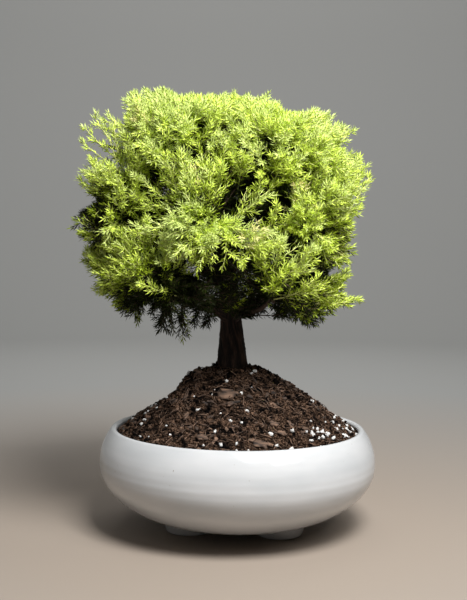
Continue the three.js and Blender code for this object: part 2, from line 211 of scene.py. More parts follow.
# The crown: an envelope filled by tiers of foliage masses round the trunk
CROWN_X = -8.0 * MM
CROWN_HALF_WIDTH = 112.0 * MM
CROWN_HALF_DEPTH = 104.0 * MM
CROWN_MIDDLE = 114.0 * MM
CROWN_HALF_HEIGHT = 87.0 * MM
CROWN_SQUARENESS = 3.0
CROWN_TILT = 5.0 * MM
TIERS = (
    Tier("low", 5, 60, 63, 45, 36, 36, 3.3, -3),
    Tier("middle", 6, 106, 70, 46, 0, 62, 3.0, -7),
    Tier("upper", 5, 153, 58, 46, 36, 96, 2.5, 6),
)
TIER_STAGGER = 4
LEFT_TIP = Tier("left_tip", 1, 158, 92, 30, -92, 110, 2.0, 0)
CROWN_TOP_HEIGHT = 172
CROWN_TOP_SIZE = 36
LIMB_TAPER = 0.6
LIMB_ARCH = 0.16
MASS_ENTRY = 0.7
SPACE_MARGIN = 0.4 * MM

# Where plumes end, as a share of the envelope; the back is rounder and more uneven
EDGE_SHARE = 0.945
EDGE_UNEVEN = 0.018
EDGE_HILLS = 24.0 * MM
BACK_START = 10.0 * MM
BACK_FADE = 50.0 * MM
BACK_UNEVEN = 0.062
BACK_ROUNDING = 0.15
CORNER_SHARE = 0.63
# Hollows in the crown's surface: azimuth from the front, height, half width, half height, depth
HOLLOWS = (
    (-58, 122, 20, 12, 0.10),
    (-21, 117, 13, 8, 0.14),
    (-10, 137, 11, 7, 0.06),
    (0, 108, 12, 10, 0.28),
    (11, 105, 8, 8, 0.06),
    (47, 106, 9, 8, 0.10),
    (-12, 58, 60, 9, 0.03),
    (115, 124, 22, 11, 0.10),
    (208, 120, 24, 10, 0.12),
    (-125, 118, 22, 11, 0.10),
)
# Needles in the shade of others, painted as darker tones: azimuth from the front, height, half width, half
# height, tones darker;
# a negative amount paints light instead
SHADES = (
    (-62, 106, 28, 15, 0.8),
    (-12, 48, 66, 25, 3.6),
    (0, 112, 17, 14, 1),
    (-90, 102, 34, 17, 2.6),
    (-4, 96, 50, 16, -1.8),
)
# Gaps that can be seen through from the front: sideways from the trunk, height, radius
GAPS = (
    (25, 38, 5.4),
    (-62, 43, 3.2),
    (-54, 40, 2.6),
    (-42, 38, 2.4),
    (-31, 36, 2.6),
    (-10, 40, 2.6),
    (71, 69, 3.2),
    (-88, 160, 3.6),
    (-98, 152, 4),
    (-86, 148, 2.6),
)
# Plumes that stand out from the rest, by the light on them: foot and tip from the trunk's foot
LEADERS = (
    (2.3, (
        ((52, -52, 112), (78, -44, 143)),
        ((60, -42, 112), (84, -34, 147)),
        ((66, -32, 106), (88, -18, 137)),
        ((74, -28, 104), (96, -10, 138)),
        ((62, -30, 122), (88, -14, 150)),
        ((52, -30, 140), (81, -22, 168)),
        ((40, -24, 150), (64, -20, 178)),
        ((58, -20, 48), (90, -8, 51)),
        ((-74, -18, 136), (-108, -6, 160)),
        ((-72, -20, 140), (-106, -6, 170)),
        ((-70, -22, 142), (-99, -8, 177)),
        ((-66, -26, 146), (-89, -14, 181)),
        ((-74, -18, 130), (-99, -4, 140)),
        ((-50, -10, 166), (-62, -8, 195)),
        ((-44, -12, 166), (-50, -8, 193)),
        ((-4, -14, 164), (0, -12, 192)),
        ((16, -14, 164), (21, -10, 192)),
        ((-34, -66, 54), (-58, -84, 63)),
        ((-60, -50, 72), (-98, -34, 80)),
        ((-58, -52, 64), (-88, -44, 62)),
        ((-66, -40, 90), (-98, -18, 86)),
    )),
    (1.9, (
        ((-12, -60, 118), (-7, -90, 138)),
        ((2, -60, 122), (6, -90, 143)),
        ((12, -60, 112), (17, -92, 132)),
        ((-2, -56, 132), (0, -84, 154)),
    )),
    (1.7, (
        ((22, -58, 120), (31, -88, 142)),
        ((20, -60, 92), (27, -92, 112)),
        ((30, -58, 94), (40, -84, 112)),
    )),
    (0.3, (
        ((8, -24, 40), (35, -38, 41)),
        ((16, -22, 47), (22, -32, 43)),
        ((22, -30, 49), (34, -36, 44)),
    )),
    (0.4, (
        ((30, -36, 53), (44, -44, 48)),
    )),
    (0.3, (
        ((-22, -30, 53), (4, -48, 50)),
        ((20, -30, 57), (-6, -50, 57)),
        ((-16, -28, 62), (10, -48, 63)),
        ((14, -26, 66), (-12, -46, 68)),
        ((-26, -28, 58), (-4, -46, 45)),
        ((22, -26, 50), (0, -44, 44)),
        ((-22, -22, 46), (-27, -30, 36)),
        ((-12, -22, 46), (-18, -28, 35)),
        ((-32, -24, 48), (-36, -30, 38)),
        ((-46, -26, 50), (-50, -32, 35)),
        ((32, -20, 60), (4, -40, 54)),
        ((30, -24, 53), (8, -42, 58)),
    )),
    (0.2, (
        ((38, 30, 58), (4, 42, 52)),
        ((36, 36, 64), (2, 46, 58)),
        ((-50, 30, 66), (-12, 44, 63)),
        ((-46, 34, 60), (-8, 46, 57)),
    )),
)
# Dents and tufts in the outline seen from the front: angle from the right, half width in degrees, amount
OUTLINE = (
    (5, 5, -0.18),
    (14, 4, 0.10),
    (21, 2.5, -0.15),
    (28, 3, -0.55),
    (36, 3, -0.05),
    (42, 3, -0.05),
    (55, 7, -0.52),
    (68, 4, -0.06),
    (81, 5, -0.04),
    (90, 34, -0.20),
    (102, 7, -0.11),
    (112, 4, -0.16),
    (120, 8, 0.04),
    (132, 4, 0.04),
    (138, 3, -0.42),
    (153, 4, 0.06),
    (162, 5, -0.18),
    (172, 4, -0.08),
    (178, 4, -0.55),
    (180, 45, -0.05),
    (187, 4, 0.02),
    (195, 2.5, -0.19),
    (207, 4, 0.06),
    (219, 3, -0.05),
    (233, 12, 0.07),
    (240, 4, 0.05),
    (254, 6, 0.14),
    (263, 3, -0.18),
    (267, 3, 0.12),
    (286, 9, -0.20),
    (296, 6, -0.22),
    (303, 2.5, -0.06),
    (318, 5, -0.05),
    (332, 6, -0.14),
    (346, 9, -0.36),
    (354, 4, -0.26),
)
# The power by which they fade towards front and back
OUTLINE_FADE = 5

# Twigs: where they start behind their mass's middle and end before its edge, as shares of its reach
TWIG_START = (0.0, 0.12)
TWIG_END = (0.45, 0.68)
# How they are lifted, how they curve up, and how far past the crown's edge they may grow
TWIG_LIFT = 0.12
TWIG_CURVE = 0.35
TWIG_SPARE = -0.12
LEAST_TWIG = 2.0 * MM

# Plumes on twigs, and sprigs on plumes
PLUMES = Growth((0.15, 1.0), (-0.06, 0.0), (60.0, 12.0), 1.0, (0.8, 1.1), 9.0 * MM)
SPRIGS = Growth((0.22, 0.97), (-0.03, 0.02), (44.0, 26.0), 0.45, (0.6, 1.15), 1.5 * MM)
OPENING_SPREAD = 0.12
# How plumes and sprigs curve on along their parent and up
SIDE_CURVE = 0.35
SIDE_LIFT = 0.16
# How plumes lean out from the heart of the crown and, higher up, upwards
CROWN_HEART = np.array([-8.0, 0.0, 62.0]) * MM
PLUME_OUTWARDS = 0.6
PLUME_UPWARDS = 0.5
CLIMB_START = 55.0 * MM
CLIMB_FADE = 50.0 * MM
# The share of the envelope that inner plumes end in, and how many plumes stand out from the crown's edge
INNER_PLUME_SHARE = 0.74
LONG_PLUMES = 0.08
# Up on the left few plumes are kept, so that it is open between them
OPEN_LEFT_X = -72.0 * MM
OPEN_LEFT_HEIGHT = 140.0 * MM
OPEN_LEFT_KEPT = 0.22
# Sprigs: longest, as a factor, and how far past the crown's edge they may grow
PLUME_SPRIGS = (1.0, 0.05)
LEADER_SPRIGS = (0.6, 0.5)
# Radii at foot and tip, in millimetres
TWIG_GIRTH = (1.1, 0.6)
INNER_GIRTH = (0.6, 0.3)
PLUME_GIRTH = (0.48, 0.26)
SPRIG_GIRTH = (0.34, 0.22)
# Stems inside the masses: points along each, and the radius at the tip as a factor
STEM_POINTS = 9
STEM_TAPER = 0.6

# How far out in the crown and in a mass light begins, and where the crown's surface looks down
LIGHT_START = 0.68
LIGHT_FADE = 0.25
MASS_LIGHT_START = 0.4
MASS_LIGHT_FADE = 0.5
UNDERSIDE_FACING = -0.75
UNDERSIDE_SHADE = 5.0
# The light above which plumes and sprigs get the pale shoot colour as painted light;
# below it they get the dark twig wood colour as painted shade
PAINTED_LIT_PLUME = 1.1
PAINTED_LIT_SPRIG = 1.3

# Needles; old ones lie deeper than the crown's edge, or in its heart, and take the near-black shade tone as
# painted shade
ON_TWIGS = NeedleKind(144, 0.1, 75.0, 2.5, 2.2)
ON_INNER = NeedleKind(36, 0.1, 60.0, 1.7, 1.6)
ON_LIMBS = NeedleKind(180, 0.25, 70.0, 2.0, 1.6)
ON_PLUMES = NeedleKind(27, 0.15, 55.0, 1.0, 1.0)
ON_SPRIGS = NeedleKind(15, 0.05, 55.0, 1.0, 1.0)
NEEDLED_LIMBS = TIERS[0].count + TIERS[1].count
OLD_NEEDLE_DEPTH = 0.10
HEART_SHARE = 0.62
LIMB_NEEDLE_SHARE = 0.9
NEEDLE_FACES = np.array([[0, 2, 1], [0, 1, 3], [0, 3, 2], [1, 2, 3]])
PIECE_NEEDLES = 48000
NEEDLE_TONES = ("shade", "leaf", "lime", "lemon", "straw")
STRAW_TONE = NEEDLE_TONES.index("straw")
# Plumes that have faded tips: how many anywhere, and round one place in front
FADED_ANYWHERE = 0.01
FADED_SHARE = 0.20
FADED_LIGHT = 1.0
FADED_FROM = 0.4
FADED_PLACE = np.array([12.0, -96.0, 95.0]) * MM
FADED_SPREAD = 24.0 * MM

# The eye that the photo was taken with, from the pot's axis
EYE = np.array([-3.83, -679.0, 196.2]) * MM
EYE_TIP = math.radians(87.31)
EYE_ROLL = math.radians(0.6)
FILM_WIDTH = 36.0
NEAREST_SEEN = 0.01

# The places that the lamps point at, and the strength of the light all round
PLANT_AIM = Vector((0.0, 0.0, 0.2))
RISE_AIM = Vector((0.0, 2.3, 0.35))
SURROUND_STRENGTH = 0.19
# The floor curves up far out: radius of the flat, radius of the curve, heights of its last rings
FLAT_RADIUS = 1.5
RISE_RADIUS = 0.9
RISE_HEIGHTS = (1.6, 2.2)

# Places that the frame gives
BOWL_BOX = np.array([tuple(corner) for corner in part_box("bowl")])
POT_AXIS = np.append(BOWL_BOX.mean(axis=0)[:2], 0.0)
GROUND_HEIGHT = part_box("trunk")[0].z
TRUNK_FOOT = POT_AXIS + (TRUNK_X, 0.0, GROUND_HEIGHT)
FOLIAGE_NODES = sorted(node for node in frame["nodes"] if node.startswith("foliage_"))


# Settings that a user would change

def length_setting(name, description, default):
    """A length in metres."""
    return FloatProperty(name=name, description=description, default=default, min=0.0, unit="LENGTH",
                         precision=5)


def power_setting(name, description, default):
    """A lamp's power in watts."""
    return FloatProperty(name=name, description=description, default=default, min=0.0, unit="POWER")


def count_setting(name, description, default, least=0):
    """A number of pieces."""
    return IntProperty(name=name, description=description, default=default, min=least)


def colour_setting(name, description, default):
    """A base colour in linear light."""
    return FloatVectorProperty(name=name, description=description, default=default, size=3, min=0.0, max=1.0,
                               subtype="COLOR")


class BowlSettings(bpy.types.PropertyGroup):
    """The glazed bowl and its feet."""
    glaze: colour_setting("Glaze", "Colour of the white glaze", (0.53, 0.535, 0.54))
    pooled: colour_setting("Pooled glaze", "Colour where the glaze lies thick", (0.47, 0.482, 0.49))
    speck: colour_setting("Speck", "Colour of the iron specks in the glaze", (0.24, 0.21, 0.18))
    ridge: length_setting("Throwing ridge", "Height of the faint ridges of turning", 0.045 * MM)


class SoilSettings(bpy.types.PropertyGroup):
    """The mound of potting soil and what lies on it."""
    # The wet soil colour is near-black: partly the soil's own dark colour, partly painted shade of the
    # hollows between crumbs
    dark: colour_setting("Wet soil", "Colour of the soil's hollows", (0.005, 0.0035, 0.003))
    light: colour_setting("Dry soil", "Colour of the soil's crumbs", (0.092, 0.055, 0.036))
    perlite: colour_setting("Perlite", "Colour of the white grains", (0.64, 0.63, 0.61))
    chip: colour_setting("Bark chips", "Colour of the bark chips", (0.15, 0.088, 0.056))
    clod: length_setting("Clods", "Height of the clods on the mound", 1.1 * MM)
    crumbs: count_setting("Crumbs", "Number of loose crumbs", 4200)
    grains: count_setting("Grains", "Number of perlite grains", 170)
    chips: count_setting("Chips", "Number of bark chips", 170)
    fibres: count_setting("Fibres", "Number of loose fibres", 1100)


class BarkSettings(bpy.types.PropertyGroup):
    """The bark of trunk and boughs."""
    # Both bark colours are set darker than the bark's own as painted shade of the crown over the trunk and
    # boughs
    groove: colour_setting("Groove", "Colour in the bark's grooves", (0.006, 0.004, 0.003))
    ridge: colour_setting("Ridge", "Colour on the bark's ridges", (0.060, 0.033, 0.022))
    depth: length_setting("Depth", "Depth of the bark's grooves on the trunk", 0.9 * MM)


class FoliageSettings(bpy.types.PropertyGroup):
    """The twigs and needles that each mass is made of."""
    # The needle colours are painted light and shade: each needle takes a tone by the light on its twig, lemon
    # and lime set bright as painted light on lit needles, leaf and shade dark as painted shade; lighter tips
    # are partly the young growth's own colour.
    lemon: colour_setting("Lemon", "Colour of the youngest needle tips", (0.60, 0.71, 0.21))
    lime: colour_setting("Lime", "Colour of young needles", (0.67, 0.81, 0.125))
    leaf: colour_setting("Leaf", "Colour of grown needles", (0.275, 0.36, 0.02))
    shade: colour_setting("Shade", "Colour of needles inside the crown", (0.014, 0.021, 0.001))
    straw: colour_setting("Straw", "Colour of the few faded needles", (0.86, 0.80, 0.34))
    # The shoot colour is painted light on the plumes and sprigs in light. The twig wood colour is the older
    # twigs' own colour set darker as painted shade, and painted shade on the plumes and sprigs in shade.
    shoot: colour_setting("Shoot", "Colour of the young twigs", (0.80, 0.84, 0.28))
    wood: colour_setting("Twig wood", "Colour of the older twigs", (0.060, 0.034, 0.020))
    needle: length_setting("Needle", "Length of a needle", 5.8 * MM)
    needle_width: length_setting("Needle width", "Width of a needle at its waist", 0.86 * MM)
    plume: length_setting("Plume", "Greatest length of a plume of sprigs", 44.0 * MM)
    sprig: length_setting("Sprig", "Length of the longest sprig on a plume", 17.0 * MM)
    twigs: count_setting("Twigs", "Directions that a mass sends twigs in", 20, 4)
    plumes: count_setting("Plumes", "Plumes on a twig", 6, 1)
    sprigs: count_setting("Sprigs", "Sprigs on a plume", 7, 1)
    needles: count_setting("Needles", "Needles on a sprig", ON_SPRIGS.count, 1)


class StageSettings(bpy.types.PropertyGroup):
    """Floor, light and camera."""
    floor: colour_setting("Floor", "Colour of the floor round the bowl", (0.30, 0.25, 0.205))
    far_floor: colour_setting("Far floor", "Colour of the floor further out", (0.27, 0.27, 0.26))
    backdrop: colour_setting("Backdrop", "Colour of the light all round", (0.78, 0.79, 0.80))
    overhead: power_setting("Overhead light", "Power of the light above", 11.4)
    key: power_setting("Key light", "Power of the light from the right", 4.0)
    fill: power_setting("Fill light", "Power of the light from the left", 0.9)
    far_light: power_setting("Far light", "Power of the light on the floor far behind", 24.0)
    lens: FloatProperty(name="Lens", description="Focal length for a 36 mm film", default=56.4, min=1.0,
                        unit="CAMERA")


# Shapes

def unit(vectors):
    """Each vector divided by its own length."""
    return vectors / np.linalg.norm(vectors, axis=-1, keepdims=True)


def round_steps(count):
    """Angles at even steps once round."""
    return np.linspace(0.0, 2.0 * math.pi, count, endpoint=False)


def swung(first, second, angle):
    """From a first direction towards a second, square to it, by an angle: first cos + second sin."""
    return first * np.cos(angle)[..., None] + second * np.sin(angle)[..., None]


def cell_values(cells, seed):
    """A number from -1 to 1 for each cell of an endless lattice: its three indices mixed into one random
    code."""
    code = cells[..., 0] * 73856093 ^ cells[..., 1] * 19349663 ^ cells[..., 2] * 83492791 ^ seed * 50331653
    code = code & 0x7FFFFFFF
    code = (code ^ (code >> 13)) * 1274126177 & 0x7FFFFFFF
    code = code ^ (code >> 11)
    return code / 0x3FFFFFFF - 1.0


def hills(points, seed):
    """Smooth hills from -1 to 1: lattice values blended across each cell by 3t^2 - 2t^3."""
    cells = np.floor(points).astype(np.int64)
    blend = points - cells
    blend = blend * blend * (3.0 - 2.0 * blend)
    total = np.zeros(points.shape[:-1])
    for corner in itertools.product((0, 1), repeat=3):
        weight = np.prod(np.where(corner, blend, 1.0 - blend), axis=-1)
        total += weight * cell_values(cells + corner, seed)
    return total


def layered_hills(points, seed, layers):
    """Hills on hills: each layer is twice as fine and half as high as the one before."""
    return sum(hills(points * 2**i, seed + i) / 2**i for i in range(layers))


def shell_faces(rows, columns):
    """Triangles of a closed shell: rows of points round an axis, then its first and its last pole."""
    row, column = np.meshgrid(np.arange(rows - 1), np.arange(columns), indexing="ij")
    here = (row * columns + column).ravel()
    beside = (row * columns + (column + 1) % columns).ravel()
    lower = np.stack([here, beside, beside + columns], axis=1)
    upper = np.stack([here, beside + columns, here + columns], axis=1)
    ring = np.arange(columns)
    after = (ring + 1) % columns
    pole = np.full(columns, rows * columns)
    top = (rows - 1) * columns
    first = np.stack([pole, after, ring], axis=1)
    last = np.stack([pole + 1, top + ring, top + after], axis=1)
    return np.concatenate([lower, upper, first, last])


def shells(skins, first, last):
    """Many closed shells in one mesh: skins are (shell, row, column, xyz), first and last are their
    poles."""
    count, rows, columns = skins.shape[:3]
    poles = np.stack([first, last], axis=1)
    points = np.concatenate([skins.reshape(count, rows * columns, 3), poles], axis=1)
    starts = np.arange(count) * points.shape[1]
    faces = shell_faces(rows, columns)[None] + starts[:, None, None]
    return points.reshape(-1, 3), faces.reshape(-1, 3)


def turned(radius, height, columns):
    """A surface of revolution about the pot's axis: the profile's radius and height, carried round in
    columns."""
    turn = round_steps(columns)
    radius = np.broadcast_to(radius, (len(height), columns))
    height = np.broadcast_to(height, (len(height), columns))
    return np.stack([radius * np.cos(turn), radius * np.sin(turn), height], axis=-1)


def tubes(paths, radii, sides):
    """Round limbs along many paths (limb, point, xyz): a ring of the given radius square to the path at
    each point."""
    heading = unit(np.gradient(paths, axis=1))
    chord = paths[:, -1] - paths[:, 0]
    guide = np.eye(3)[np.argmin(np.abs(chord), axis=1)][:, None]
    side = unit(np.cross(heading, guide))
    over = np.cross(heading, side)
    turn = round_steps(sides)
    ring = swung(side[:, :, None], over[:, :, None], turn)
    skins = paths[:, :, None] + ring * radii[..., None]
    tip_radius = radii[:, -1].mean(axis=-1)[:, None]
    return shells(skins, paths[:, 0], paths[:, -1] + heading[:, -1] * tip_radius)


def blended_curve(knots, shares):
    """A smooth curve by repeated blending between its knots; shares has one entry for each point wanted."""
    shares = np.asarray(shares)[:, None]
    points = [np.broadcast_to(knot, (len(shares), 3)) for knot in knots]
    while len(points) > 1:
        points = [a + (b - a) * shares for a, b in itertools.pairwise(points)]
    return points[0]


def lumps(places, frames, sizes, rng, rows, columns, rough, square):
    """Small lumps: balls of rows by columns points, made boxy by a power of each coordinate, with every
    point moved in or out at random, then stretched to sizes, turned by frames and set at places."""
    lift = np.linspace(-0.5, 0.5, rows + 2)[1:-1] * math.pi
    turn = round_steps(columns)
    ball = np.stack([np.outer(np.cos(lift), np.cos(turn)), np.outer(np.cos(lift), np.sin(turn)),
                     np.outer(np.sin(lift), np.ones(columns))], axis=-1)
    ball = np.sign(ball) * np.abs(ball) ** square
    skins = ball * (1.0 + rough * rng.uniform(-1.0, 1.0, (len(places), rows, columns, 1)))
    poles = np.array([[0.0, 0.0, -1.0], [0.0, 0.0, 1.0]]) * (1.0 - rough / 2.0)
    skins = np.einsum("nij,nrcj->nrci", frames, skins * sizes[:, None, None]) + places[:, None, None]
    ends = np.einsum("nij,npj->npi", frames, poles[None] * sizes[:, None]) + places[:, None]
    return shells(skins, ends[:, 0], ends[:, 1])


def new_mesh(name, shape, finish, smooth):
    """A mesh from arrays of points and triangles."""
    points, faces = shape
    mesh = bpy.data.meshes.new(name)
    mesh.vertices.add(len(points))
    mesh.vertices.foreach_set("co", points.astype(np.float32).ravel())
    mesh.loops.add(faces.size)
    mesh.loops.foreach_set("vertex_index", faces.astype(np.int32).ravel())
    mesh.polygons.add(len(faces))
    mesh.polygons.foreach_set("loop_start", np.arange(0, faces.size, 3, dtype=np.int32))
    mesh.polygons.foreach_set("use_smooth", np.full(len(faces), smooth))
    mesh.update(calc_edges=True)
    mesh.materials.append(finish)
    return mesh


def placed(name, data):
    """A new object in the scene that shows a mesh, a light or a camera."""
    thing = bpy.data.objects.new(name, data)
    bpy.context.scene.collection.objects.link(thing)
    return thing


def add_piece(name, slot, nodes, shape, finish, smooth=True, **attributes):
    """A piece that rides on the root body and stands for the given nodes; attributes are values on its
    points."""
    mesh = new_mesh(name, shape, finish, smooth)
    for key, values in attributes.items():
        stored = mesh.attributes.new(key, "FLOAT", "POINT")
        stored.data.foreach_set("value", values.astype(np.float32).ravel())
    piece = placed(name, mesh)
    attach(piece, "root")
    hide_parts(*nodes)


# Finishes

def new_finish(name, roughness, **values):
    """A material with one principled shader; values are its sockets, with _ for a space."""
    material = bpy.data.materials.new(name)
    material.use_nodes = True
    shader = material.node_tree.nodes["Principled BSDF"]
    shader.inputs["Roughness"].default_value = roughness
    for socket, value in values.items():
        shader.inputs[socket.replace("_", " ")].default_value = value
    return material, material.node_tree, shader


def grain(tree, scale, detail, stretch=(1.0, 1.0, 1.0)):
    """Noise on the piece's own coordinates, scale patches to a metre, stretched along an axis."""
    place = tree.nodes.new("ShaderNodeTexCoord")
    mapping = tree.nodes.new("ShaderNodeMapping")
    mapping.inputs["Scale"].default_value = stretch
    texture = tree.nodes.new("ShaderNodeTexNoise")
    texture.inputs["Scale"].default_value = scale
    texture.inputs["Detail"].default_value = detail
    tree.links.new(place.outputs["Object"], mapping.inputs["Vector"])
    tree.links.new(mapping.outputs["Vector"], texture.inputs["Vector"])
    return texture.outputs[0]


def stops(tree, factor, *colours):
    """A colour ramp: pairs of position and colour."""
    ramp = tree.nodes.new("ShaderNodeValToRGB")
    band = ramp.color_ramp
    while len(band.elements) < len(colours):
        band.elements.new(0.5)
    for element, (position, colour) in zip(band.elements, colours):
        element.position = position
        element.color = (*colour, 1.0)
    tree.links.new(factor, ramp.inputs["Fac"])
    return ramp.outputs["Color"]


def blend(tree, factor, first, second, mode="MIX"):
    """Two colours mixed by a factor; each may be a colour or a socket."""
    mix = tree.nodes.new("ShaderNodeMix")
    mix.data_type = "RGBA"
    mix.blend_type = mode
    for socket, value in ((mix.inputs[0], factor), (mix.inputs[6], first), (mix.inputs[7], second)):
        if isinstance(value, bpy.types.NodeSocket):
            tree.links.new(value, socket)
        elif isinstance(value, float):
            socket.default_value = value
        else:
            socket.default_value = (*value, 1.0)
    return mix.outputs[2]


def reading(tree, name):
    """A value stored on the piece's points."""
    attribute = tree.nodes.new("ShaderNodeAttribute")
    attribute.attribute_name = name
    return attribute.outputs["Fac"]


def relief(tree, shader, height, strength, distance):
    """A bump on the shader's normal."""
    bump = tree.nodes.new("ShaderNodeBump")
    bump.inputs["Strength"].default_value = strength
    bump.inputs["Distance"].default_value = distance
    tree.links.new(height, bump.inputs["Height"])
    tree.links.new(bump.outputs["Normal"], shader.inputs["Normal"])


def tinted(colour, factor):
    """A colour made lighter or darker."""
    return tuple(min(1.0, channel * factor) for channel in colour)


def grey(level):
    """A colour with all channels alike."""
    return (level, level, level)


def glaze_finish(settings):
    """Glossy off-white glaze: cloudy where it pools, with a few iron specks and a slightly uneven gloss."""
    material, tree, shader = new_finish("white_glaze", 0.14, Coat_Weight=0.35, Coat_Roughness=0.06)
    pools = grain(tree, 22.0, 2.0, (1.0, 1.0, 3.0))
    cloud = stops(tree, pools, (0.30, settings.pooled), (0.62, settings.glaze))
    specks = stops(tree, grain(tree, 420.0, 1.0), (0.785, grey(0.0)), (0.82, grey(1.0)))
    tree.links.new(blend(tree, specks, cloud, settings.speck), shader.inputs["Base Color"])
    gloss = stops(tree, grain(tree, 60.0, 4.0), (0.3, grey(0.10)), (0.7, grey(0.22)))
    tree.links.new(gloss, shader.inputs["Roughness"])
    relief(tree, shader, grain(tree, 240.0, 2.0, (1.0, 1.0, 2.0)), 0.05, 0.4 * MM)
    return material


def soil_finish(settings, name, lighter=1.0):
    """Crumbly potting soil: near-black patches, partly dark wet soil and partly painted shade of the hollows
    between crumbs, and lighter dry crumbs of many sizes, with a rough bump.
    """
    material, tree, shader = new_finish(name, 0.95, Specular_IOR_Level=0.04)
    dry = tinted(settings.light, lighter)
    coarse = stops(tree, grain(tree, 190.0, 6.0), (0.40, settings.dark), (0.58, dry))
    fine = stops(tree, grain(tree, 900.0, 4.0), (0.42, (0.06, 0.055, 0.05)), (0.60, grey(1.0)))
    tree.links.new(blend(tree, 1.0, coarse, fine, "MULTIPLY"), shader.inputs["Base Color"])
    relief(tree, shader, grain(tree, 1100.0, 5.0), 0.7, 0.8 * MM)
    return material


def patchy_finish(name, roughness, colour, noise, dark, light, bump=None, **values):
    """Patches of one colour: noise from a darker to a lighter tint of it, each given by its position and
    factor, and a bump of the same noise."""
    material, tree, shader = new_finish(name, roughness, **values)
    patch = grain(tree, *noise)
    tone = stops(tree, patch, *((position, tinted(colour, factor)) for position, factor in (dark, light)))
    tree.links.new(tone, shader.inputs["Base Color"])
    if bump:
        relief(tree, shader, patch, *bump)
    return material


def perlite_finish(settings):
    """Chalky white grains with grey pores."""
    return patchy_finish("perlite_white", 0.9, settings.perlite, (900.0, 4.0), (0.32, 0.55), (0.55, 1.0),
                         (0.6, 0.5 * MM))


def chip_finish(settings, name, lighter):
    """Weathered bark: streaks along the chip from dark brown to tan."""
    return patchy_finish(name, 0.85, settings.chip, (500.0, 5.0, (0.35, 1.0, 1.0)), (0.36, 0.12 * lighter),
                         (0.64, lighter), (0.6, 0.5 * MM))


def bark_finish(settings):
    """Fibrous bark: dark grooves and brown ridges from the relief's own height, with fine upright
    fibres. Both colours are set darker than the bark's own, as painted shade of the crown."""
    material, tree, shader = new_finish("fibrous_bark", 0.88, Specular_IOR_Level=0.3)
    fibres = grain(tree, 900.0, 5.0, (1.0, 1.0, 0.12))
    broad = stops(tree, reading(tree, "ridge"), (0.25, settings.groove), (0.85, settings.ridge))
    streak = stops(tree, fibres, (0.32, (0.30, 0.28, 0.27)), (0.66, grey(1.0)))
    tree.links.new(blend(tree, 1.0, broad, streak, "MULTIPLY"), shader.inputs["Base Color"])
    relief(tree, shader, fibres, 0.8, 0.6 * MM)
    return material


def needle_finish(name, colour):
    """A needle's plain colour, a little lighter or darker from needle to needle, with a waxy gloss."""
    return patchy_finish(name, 0.5, colour, (330.0, 2.0), (0.3, 0.74), (0.7, 1.16), Specular_IOR_Level=0.18)


def twig_finish(name, colour):
    """Twig bark with rings and patches."""
    return patchy_finish(name, 0.75, colour, (600.0, 4.0), (0.3, 0.55), (0.7, 1.15), (0.4, 0.3 * MM))


# The bowl

def wall_curve(inset, lift, lower, upper):
    """Radius and height of the wall: a quarter ellipse from the flat underside to the belly, then a round
    arc in towards the lip. The inside is the same curve set in by inset and raised by lift at the floor."""
    low = np.linspace(-0.5 * math.pi, 0.0, lower)
    high = np.linspace(0.0, SHOULDER_SWEEP, upper)[1:]
    wide = BELLY_RADIUS - UNDERSIDE_RADIUS - inset
    tall = BELLY_HEIGHT - UNDERSIDE_HEIGHT - lift
    arc = SHOULDER_ARC - inset
    belly = UNDERSIDE_RADIUS + wide * np.cos(low)
    shoulder = BELLY_RADIUS - SHOULDER_ARC + arc * np.cos(high)
    radius = np.concatenate([belly, shoulder])
    height = np.concatenate([BELLY_HEIGHT + tall * np.sin(low), BELLY_HEIGHT + arc * np.sin(high)])
    return radius, height


def bowl_shape(settings):
    """The wall's profile, up the outside, over a half-round lip and down the inside, turned about the axis.
    Faint ridges of turning and a slow unevenness push the outside in and out."""
    outer_radius, outer_height = wall_curve(0.0, 0.0, 70, 40)
    inner_radius, inner_height = wall_curve(WALL, FLOOR_THICKNESS, 40, 20)
    lip = np.linspace(SHOULDER_SWEEP, SHOULDER_SWEEP + math.pi, 15)[1:-1]
    middle = SHOULDER_ARC - WALL / 2.0
    lip_x = BELLY_RADIUS - SHOULDER_ARC + middle * math.cos(SHOULDER_SWEEP)
    lip_z = BELLY_HEIGHT + middle * math.sin(SHOULDER_SWEEP)
    under = np.linspace(0.0, UNDERSIDE_RADIUS, 6)[1:-1]
    level = np.full(len(under), UNDERSIDE_HEIGHT)
    lip_radius, lip_height = lip_x + WALL / 2.0 * np.cos(lip), lip_z + WALL / 2.0 * np.sin(lip)
    radius = np.concatenate([under, outer_radius, lip_radius, inner_radius[::-1], under[::-1]])
    height = np.concatenate([level, outer_height, lip_height, inner_height[::-1], level + FLOOR_THICKNESS])
    skin = turned(radius[:, None], height[:, None], 240)
    turn = np.arctan2(skin[..., 1], skin[..., 0]) / (2.0 * math.pi)
    climb = skin[..., 2] + RIDGE_PITCH * turn
    flat = np.zeros_like(climb)
    ripple = hills(np.stack([climb / RIDGE_SPACING, flat, flat], axis=-1), SEED)
    slow = hills(skin / WALL_HILLS, SEED + 1)
    shift = settings.ridge * (ripple + 2.0 * slow)
    outside = np.clip((skin[..., 2] - UNDERSIDE_HEIGHT) / RIDGE_FADE, 0.0, 1.0)
    outward = unit(skin * (1.0, 1.0, 0.0))
    skin = skin + outward * (shift * outside)[..., None] + POT_AXIS
    floor = POT_AXIS + (0.0, 0.0, UNDERSIDE_HEIGHT)
    return shells(skin[None], floor[None], (floor + (0.0, 0.0, FLOOR_THICKNESS))[None])


def underside_height(distance):
    """Height of the bowl's outside below the belly at a distance from the axis."""
    share = np.clip((distance - UNDERSIDE_RADIUS) / (BELLY_RADIUS - UNDERSIDE_RADIUS), 0.0, 1.0)
    return BELLY_HEIGHT - (BELLY_HEIGHT - UNDERSIDE_HEIGHT) * np.sqrt(1.0 - share**2)


def foot_radius(share):
    """Radius of a foot's leaning wall at a share of its height."""
    return FOOT_BOTTOM_RADIUS + (FOOT_TOP_RADIUS - FOOT_BOTTOM_RADIUS) * share


